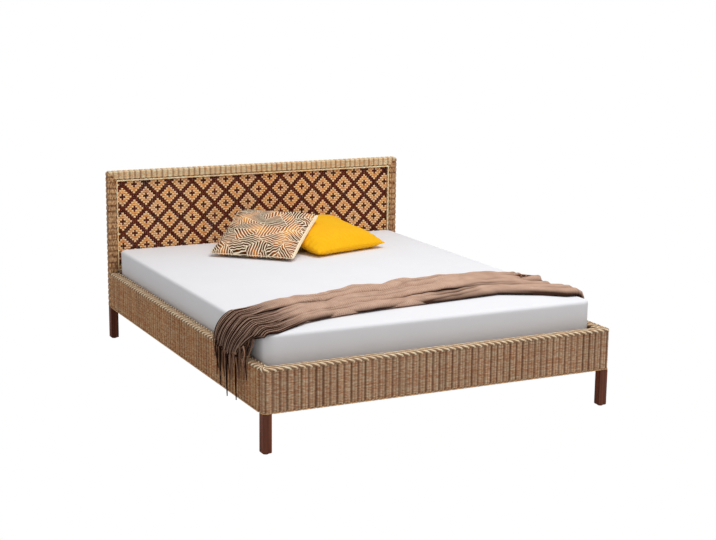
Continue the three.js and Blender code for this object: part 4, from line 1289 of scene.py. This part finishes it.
def section_points(along):
    """The cloth's section from edge to edge, as shares across and heights, at every station of its length.
    It starts with the layer on the mattress, turns at the foot edge and runs back in three rolls."""
    first = 0.33 + 0.10 * wave(0.8 * along + 0.10) + 0.025 * wave(2.7 * along + 0.3)
    second = 0.66 + 0.07 * wave(1.1 * along + 0.55) + 0.02 * wave(3.1 * along + 0.8)
    heights = [
        0.026 + 0.005 * wave(1.7 * along + 0.2) + 0.002 * wave(5.3 * along + 0.1),
        0.034 + 0.006 * wave(1.3 * along + 0.7) + 0.003 * wave(6.1 * along + 0.6),
        0.043 + 0.007 * wave(1.9 * along + 0.45) + 0.003 * wave(7.3 * along + 0.3),
    ]
    points = [(share, LYING_FLAT) for share in (0.96, 0.66, 0.34, 0.06)]
    points += [(-0.008, 0.22 * heights[0])]
    for start, end, high in zip((0.0, first, second), (first, second, 1.0), heights):
        wide = end - start
        if high is not heights[0]:
            points += [(start + 0.085, 0.006), (start + 0.02, 0.009)]
            points += [(start - 0.042, 0.40 * high), (start - 0.034, 0.72 * high)]
            points += [(start + 0.03, 0.95 * high)]
        else:
            points += [(start - 0.018, 0.55 * high), (start + 0.02, 0.88 * high)]
        points += [(start + 0.35 * wide, high), (start + 0.6 * wide, 0.94 * high)]
        points += [(start + 0.82 * wide, 0.62 * high)]
        if high is not heights[2]:
            points += [(end - 0.012, 0.22 * high + 0.002)]
    points += [(1.0, 0.42 * heights[2]), (1.012, 0.2 * heights[2])]
    points += [(0.97, 0.0052), (0.86, 0.0054), (0.74, 0.0056)]
    share = np.array([np.broadcast_to(point[0], along.shape) for point in points])
    height = np.array([np.broadcast_to(point[1], along.shape) for point in points])
    return np.stack([share, height], -1)


line, line_out, line_run, leave_run = cloth_line()
run = np.linspace(0, line_run[-1], ALONG_STEPS)
along = run / run[-1]
section_line = spline(section_points(along), ACROSS_STEPS)
share, height = section_line[..., 0], section_line[..., 1]
# Towards the left end the three rolls open out into one fan of pleats
fan = np.clip((-np.interp(run, line_run, line[:, 0]) - FAN_FROM) / FAN_REACH, 0, 1)[None] ** 1.6
foot_row, head_row = np.argmin(share[:, 0]), np.argmax(share[:, 0])
over = ((np.arange(ACROSS_STEPS) - foot_row) / (head_row - foot_row))[:, None]
opened = fan * ((over >= 0) & (over <= 1))
evenly = share[foot_row] + (share[head_row] - share[foot_row]) * over
share = share + (evenly - share) * opened
height = height + (FAN_HIGH * np.clip(12 * np.minimum(over, 1 - over), 0, 1) - height) * opened
drape = line_run >= leave_run
hem_z = np.interp(share[:, -1], *LEFT_HEM.T) + 0.014 * np.abs(np.sin(np.pi * 7.4 * share[:, -1] + 0.5))
hem_run = np.interp(-hem_z, -line[drape, 1], line_run[drape])
past = np.clip(run - leave_run, 0, None)[None]
run_here = run - past + past * (hem_run[:, None] - leave_run) / (line_run[-1] - leave_run)
drawn_back = 0.055 * np.clip((share - 0.30) / 0.06, 0, 1) + 0.075 * np.clip((share - 0.64) / 0.06, 0, 1)
run_here = run_here + drawn_back * np.clip(1 - along / 0.16, 0, 1) ** 2
x, z = (np.interp(run_here, line_run, line[:, axis]) for axis in (0, 1))
out_x, out_z = (np.interp(run_here, line_run, line_out[:, axis]) for axis in (0, 1))
foot_edge = foot_face_y + bed_length * np.interp(along, *CLOTH_EDGE_SHARES.T[[0, 1]])
head_edge = foot_face_y + bed_length * np.interp(along, *CLOTH_EDGE_SHARES.T[[0, 2]])
y = foot_edge + (head_edge - foot_edge) * share
steps_across = np.hypot(np.diff(y, axis=0), np.diff(height, axis=0))
step_run = np.concatenate([np.zeros((1, ALONG_STEPS)), np.cumsum(steps_across, axis=0)])
visible = np.clip(height / 0.012, 0, 1)
hanging = np.clip(np.abs(out_x) * 1.15 - 0.1, 0, 1) * (x < 0)

wander = 0.3 * wave(along * 2.3 + 2.1 * share) + 0.35 * wave(2.7 * share + 0.3)
pleat = 1 - np.abs(np.sin(np.pi * (PLEATS * share + wander))) ** 0.8
fine = 1 - np.abs(np.sin(np.pi * FINE_PLEATS * share))
rumple = wave(along * 13 + share * 4.2) * wave(along * 5.1 - share * 2.7 + 0.2)
skew = 2.1 * along + 0.35 * wave(1.7 * along + 0.4)
long_folds = 1 - np.abs(np.sin(np.pi * (7.3 * share + skew))) ** 0.6
long_folds = long_folds * (0.5 + 0.5 * wave(3.1 * along + 1.7 * share))
creases = (PLEAT_DEEP * pleat + FINE_PLEAT_DEEP * fine) * fan + LONG_FOLD_DEEP * long_folds * (1 - 0.9 * fan)
height = height * (1 - 0.25 * hanging) - creases * visible + RUMPLE_HIGH * rumple * visible * (1 - fan)
height = np.maximum(height, LYING_FLAT)
upper_layer = step_run > UNDER_LAYER
# Painted shade: in the creases, over the whole hanging drape, at the bottom of the valleys between rolls and
# on the layers that turn under
valley_shade = np.clip(1.25 - height / 0.020, 0, 1) * upper_layer * (1 - fan)
shaded_under_fold = (np.gradient(share, axis=0) < -0.0005) & upper_layer & (height < 0.030) & (fan < 0.5)
painted_light_and_tone = np.clip(creases / PLEAT_DEEP, 0, 1) ** 1.4 * (0.80 - 0.10 * fan)
painted_light_and_tone = painted_light_and_tone + DRAPE_SHADE * fan + valley_shade + TURNED_UNDER_SHADE * shaded_under_fold
cloth_points = np.stack([x + out_x * height, y, z + out_z * height], -1)


def twill(wire):
    place = wire.attribute("cut", "Vector")
    warp = (place.part(0) * 800.0 + place.part(1) * 400.0).math("SINE")
    weft = (place.part(1) * 800.0).math("SINE")
    knot = warp * weft
    yarn = place.scaled((1.0, 6.0, 1.0)).noise(120.0, 2.0)
    cord = (place.part(0) * 640.0 + place.noise(30.0, 1.0) * 4.0).math("SINE") * 0.5 + 0.5
    worn = place.noise(14.0, 2.0)
    body = yarn * 0.8 + knot * 0.2 + cord * 0.22 + worn * 0.5 - 0.26
    gathered = wire.attribute("gathered", "Vector")
    tuck = gathered.part(1) * (2 * np.pi * TUCKS) + place.noise(5.0, 1.0) * 5.0
    tuck = tuck.math("SINE") * gathered.part(0)
    # Painted shade in the hollows of the drape's fine tucks, less on their crests, added to the cloth's
    # painted shade
    painted_fold_shade = wire.attribute("painted_light_and_tone") + tuck * TUCK_SHADE
    return {
        "Base Color": painted_fold_shade.mix(body.mix(paint(142, 102, 80), paint(240, 205, 182)), paint(48, 20, 8)),
        "Roughness": 0.85 + yarn * 0.1,
        "Normal": (knot * 0.3 + cord * 0.8 + yarn - tuck * 1.5).bump(0.6, 0.0016),
    }


def grid_mesh(name, points):
    rows, steps = points.shape[:2]
    number = np.arange(rows * steps).reshape(rows, steps)
    quads = np.stack([number[:-1, :-1], number[:-1, 1:], number[1:, 1:], number[1:, :-1]], -1)
    return mesh_of(name, points.reshape(-1, 3), quads.reshape(-1), np.full(len(quads) * (steps - 1), 4))


mesh = grid_mesh("throw_cloth", cloth_points)
note(mesh, "cut", together(run[None], step_run, 0.0))
note(mesh, "painted_light_and_tone", np.clip(painted_light_and_tone, 0, DARKEST_PAINTED_SHADE).ravel())
note(mesh, "gathered", together(fan, share, 0.0))
WOOL = {"Specular IOR Level": 0.04, "Sheen Weight": 0.01, "Sheen Roughness": 0.5}
throw = shown("throw_cloth", mesh, finish("wool_twill", twill, WOOL), "throw", "throw_wool")
thicken(throw, CLOTH_THICK)

FRINGE_SPACING = 0.024
FRINGE_RADIUS = 0.0031
FRINGE_KNOT = 1.7
FRINGE_STEPS = 14
RIGHT_FRINGE = 0.128
# How low the left fringe hangs, and its three longest tassels, by the place along the bed
FRINGE_TIPS = np.array([
    (-1.02, 0.375), (-0.965, 0.33), (-0.86, 0.235), (-0.79, 0.212),
    (-0.68, 0.212), (-0.61, 0.23), (-0.52, 0.27),
])
LONG_TASSELS = ((-0.653, 0.193), (-0.723, 0.163), (-0.832, 0.175))
LONG_TASSEL_STOUTNESS = 1.4
fringe = Strands(6)
climb = np.linspace(0, 1, FRINGE_STEPS)
bulge = np.exp(-(((climb - 0.07) / 0.05) ** 2))
knot = FRINGE_RADIUS * (1 + (FRINGE_KNOT - 1) * bulge) * (1 - 0.5 * climb**3)
rail_side = board_half_x + BEAD_PROUD + 0.003


def hung(root, tip, sway):
    """A tassel of the left end: over the rail's edge and down to its tip."""
    gone = (root[2] - min(tip, root[2] - 0.05)) * climb
    clear = max(root[2] - rail_top - 0.004, 1e-6)
    to_side = min(0.0, -rail_side - 0.004 - root[0])
    return root + np.column_stack([to_side * np.minimum(1, gone / clear), sway, -gone])


def spread(root, length, sway):
    """A tassel of the right end: down beside the mattress and out over the rail."""
    gone = length * climb
    fall = max(root[2] - rail_top - 0.003, 0.01)
    return root + np.column_stack([np.clip(gone - fall, 0, None) * 0.62, sway, -np.minimum(gone, fall)])


for end in (0, -1):
    hem = cloth_points[:, end]
    hem_run = np.concatenate([[0], np.cumsum(np.linalg.norm(np.diff(hem, axis=0), axis=1))])
    for place in np.arange(FRINGE_SPACING / 2, hem_run[-1], FRINGE_SPACING):
        root = np.array([np.interp(place, hem_run, hem[:, axis]) for axis in range(3)])
        sway = random.normal(0, 0.016) * climb**1.3 + random.normal(0, 0.007) * np.sin(np.pi * climb * 1.5)
        if end == -1:
            path = hung(root, np.interp(root[1], *FRINGE_TIPS.T) + 0.11 * random.random() ** 1.3, sway)
        else:
            path = spread(root, RIGHT_FRINGE * random.uniform(0.82, 1.06), sway)
        fringe.lay(path, (np.sign(root[0]), 0.2, 0), knot, knot, random.random(), 0.2 * random.random())
for place, tip in LONG_TASSELS:
    root = cloth_points[foot_row + np.argmin(np.abs(cloth_points[foot_row:head_row, -1, 1] - place)), -1]
    stout = LONG_TASSEL_STOUTNESS * knot
    fringe.lay(hung(root, tip, 0.006 * np.sin(np.pi * climb)), (-1, 0.2, 0), stout, stout, 0.0)


def yarn(wire):
    strand = wire.attribute("cane", "Vector")
    twist = (strand.part(0) * 900.0 + strand.part(1) * (4 * np.pi)).math("SINE") * 0.5 + 0.5
    hair = strand.scaled((200.0, 20.0, 50.0)).noise(1.0, 2.0)
    shade = strand.part(2) * 1.1 + hair * 0.4 + twist * 0.25 - 0.45
    return {
        "Base Color": shade.mix(paint(46, 25, 17), paint(206, 158, 130)),
        "Roughness": 0.85 + hair * 0.1,
        "Normal": (twist + hair * 0.5).bump(0.6, 0.0008),
    }


fringe_piece = fringe.piece("throw_fringe", finish("wool_yarn", yarn, WOOL), "throw", "throw_wool")


# Studio: a pale floor, one broad soft lamp overhead and towards the foot, and even light all round. The
# camera stands off the foot's left corner, a little above eye height.
CAMERA_PLACE = (-3.00977, -6.25125, 1.93274)
CAMERA_YAW, CAMERA_PITCH, CAMERA_ROLL = -0.46195, -0.20372, -0.01167
CAMERA_LENS = 72.93
FLOOR_HALF = 14.0
FLOOR_SHADE = (0.72, 0.72, 0.72, 1)
WHITE = (1, 1, 1, 1)
WORLD_LIGHT = 0.49
KEY_PLACE = (0.6, -1.2, 4.2)
KEY_AIM = (0, 0.1, 0.3)
KEY_SIZE = 3.0
KEY_POWER = 104.0

camera_data = bpy.data.cameras.new("camera")
camera_data.lens = CAMERA_LENS
camera = bpy.data.objects.new("camera", camera_data)
bpy.context.scene.collection.objects.link(camera)
yaw = Matrix.Rotation(CAMERA_YAW, 4, "Z")
pitch = Matrix.Rotation(CAMERA_PITCH, 4, "X")
roll = Matrix.Rotation(CAMERA_ROLL, 4, "Y")
level = Matrix.Rotation(np.pi / 2, 4, "X")
camera.matrix_world = Matrix.Translation(CAMERA_PLACE) @ yaw @ pitch @ roll @ level
bpy.context.scene.camera = camera


def seen_directly(wire):
    """1 for what the camera sees straight, and 0 for light that bounces."""
    return wire.node("LightPath", output="Is Camera Ray")


floor_paint = bpy.data.materials.new("floor_paint")
floor_paint.use_nodes = True
tree = floor_paint.node_tree
tree.nodes.clear()
start = Wire(tree)
matt = start.node("BsdfDiffuse", {}, {"Color": FLOOR_SHADE})
bright = start.node("Emission", {}, {"Color": WHITE, "Strength": 1.0})
surface = start.node("MixShader", {}, {0: seen_directly(start), 1: matt, 2: bright})
tree.links.new(surface.socket, tree.nodes.new("ShaderNodeOutputMaterial").inputs["Surface"])

floor_corners = FLOOR_HALF * np.array([(-1, -1, 0), (1, -1, 0), (1, 1, 0), (-1, 1, 0)])
floor_mesh = mesh_of("floor", floor_corners, [0, 1, 2, 3], [4])
floor_mesh.materials.append(floor_paint)
floor = bpy.data.objects.new("floor", floor_mesh)
bpy.context.scene.collection.objects.link(floor)

world = bpy.data.worlds.new("studio")
world.use_nodes = True
bpy.context.scene.world = world
tree = world.node_tree
strength = WORLD_LIGHT + seen_directly(Wire(tree)) * (1.0 - WORLD_LIGHT)
tree.links.new(strength.socket, tree.nodes["Background"].inputs["Strength"])
tree.nodes["Background"].inputs["Color"].default_value = WHITE

key_data = bpy.data.lights.new("overhead", "AREA")
key_data.shape = "DISK"
key_data.size = KEY_SIZE
key_data.energy = KEY_POWER
key = bpy.data.objects.new("overhead", key_data)
key.location = KEY_PLACE
key.rotation_euler = (Vector(KEY_AIM) - Vector(KEY_PLACE)).to_track_quat("-Z", "Y").to_euler()
bpy.context.scene.collection.objects.link(key)
bpy.context.scene.view_settings.view_transform = "Standard"
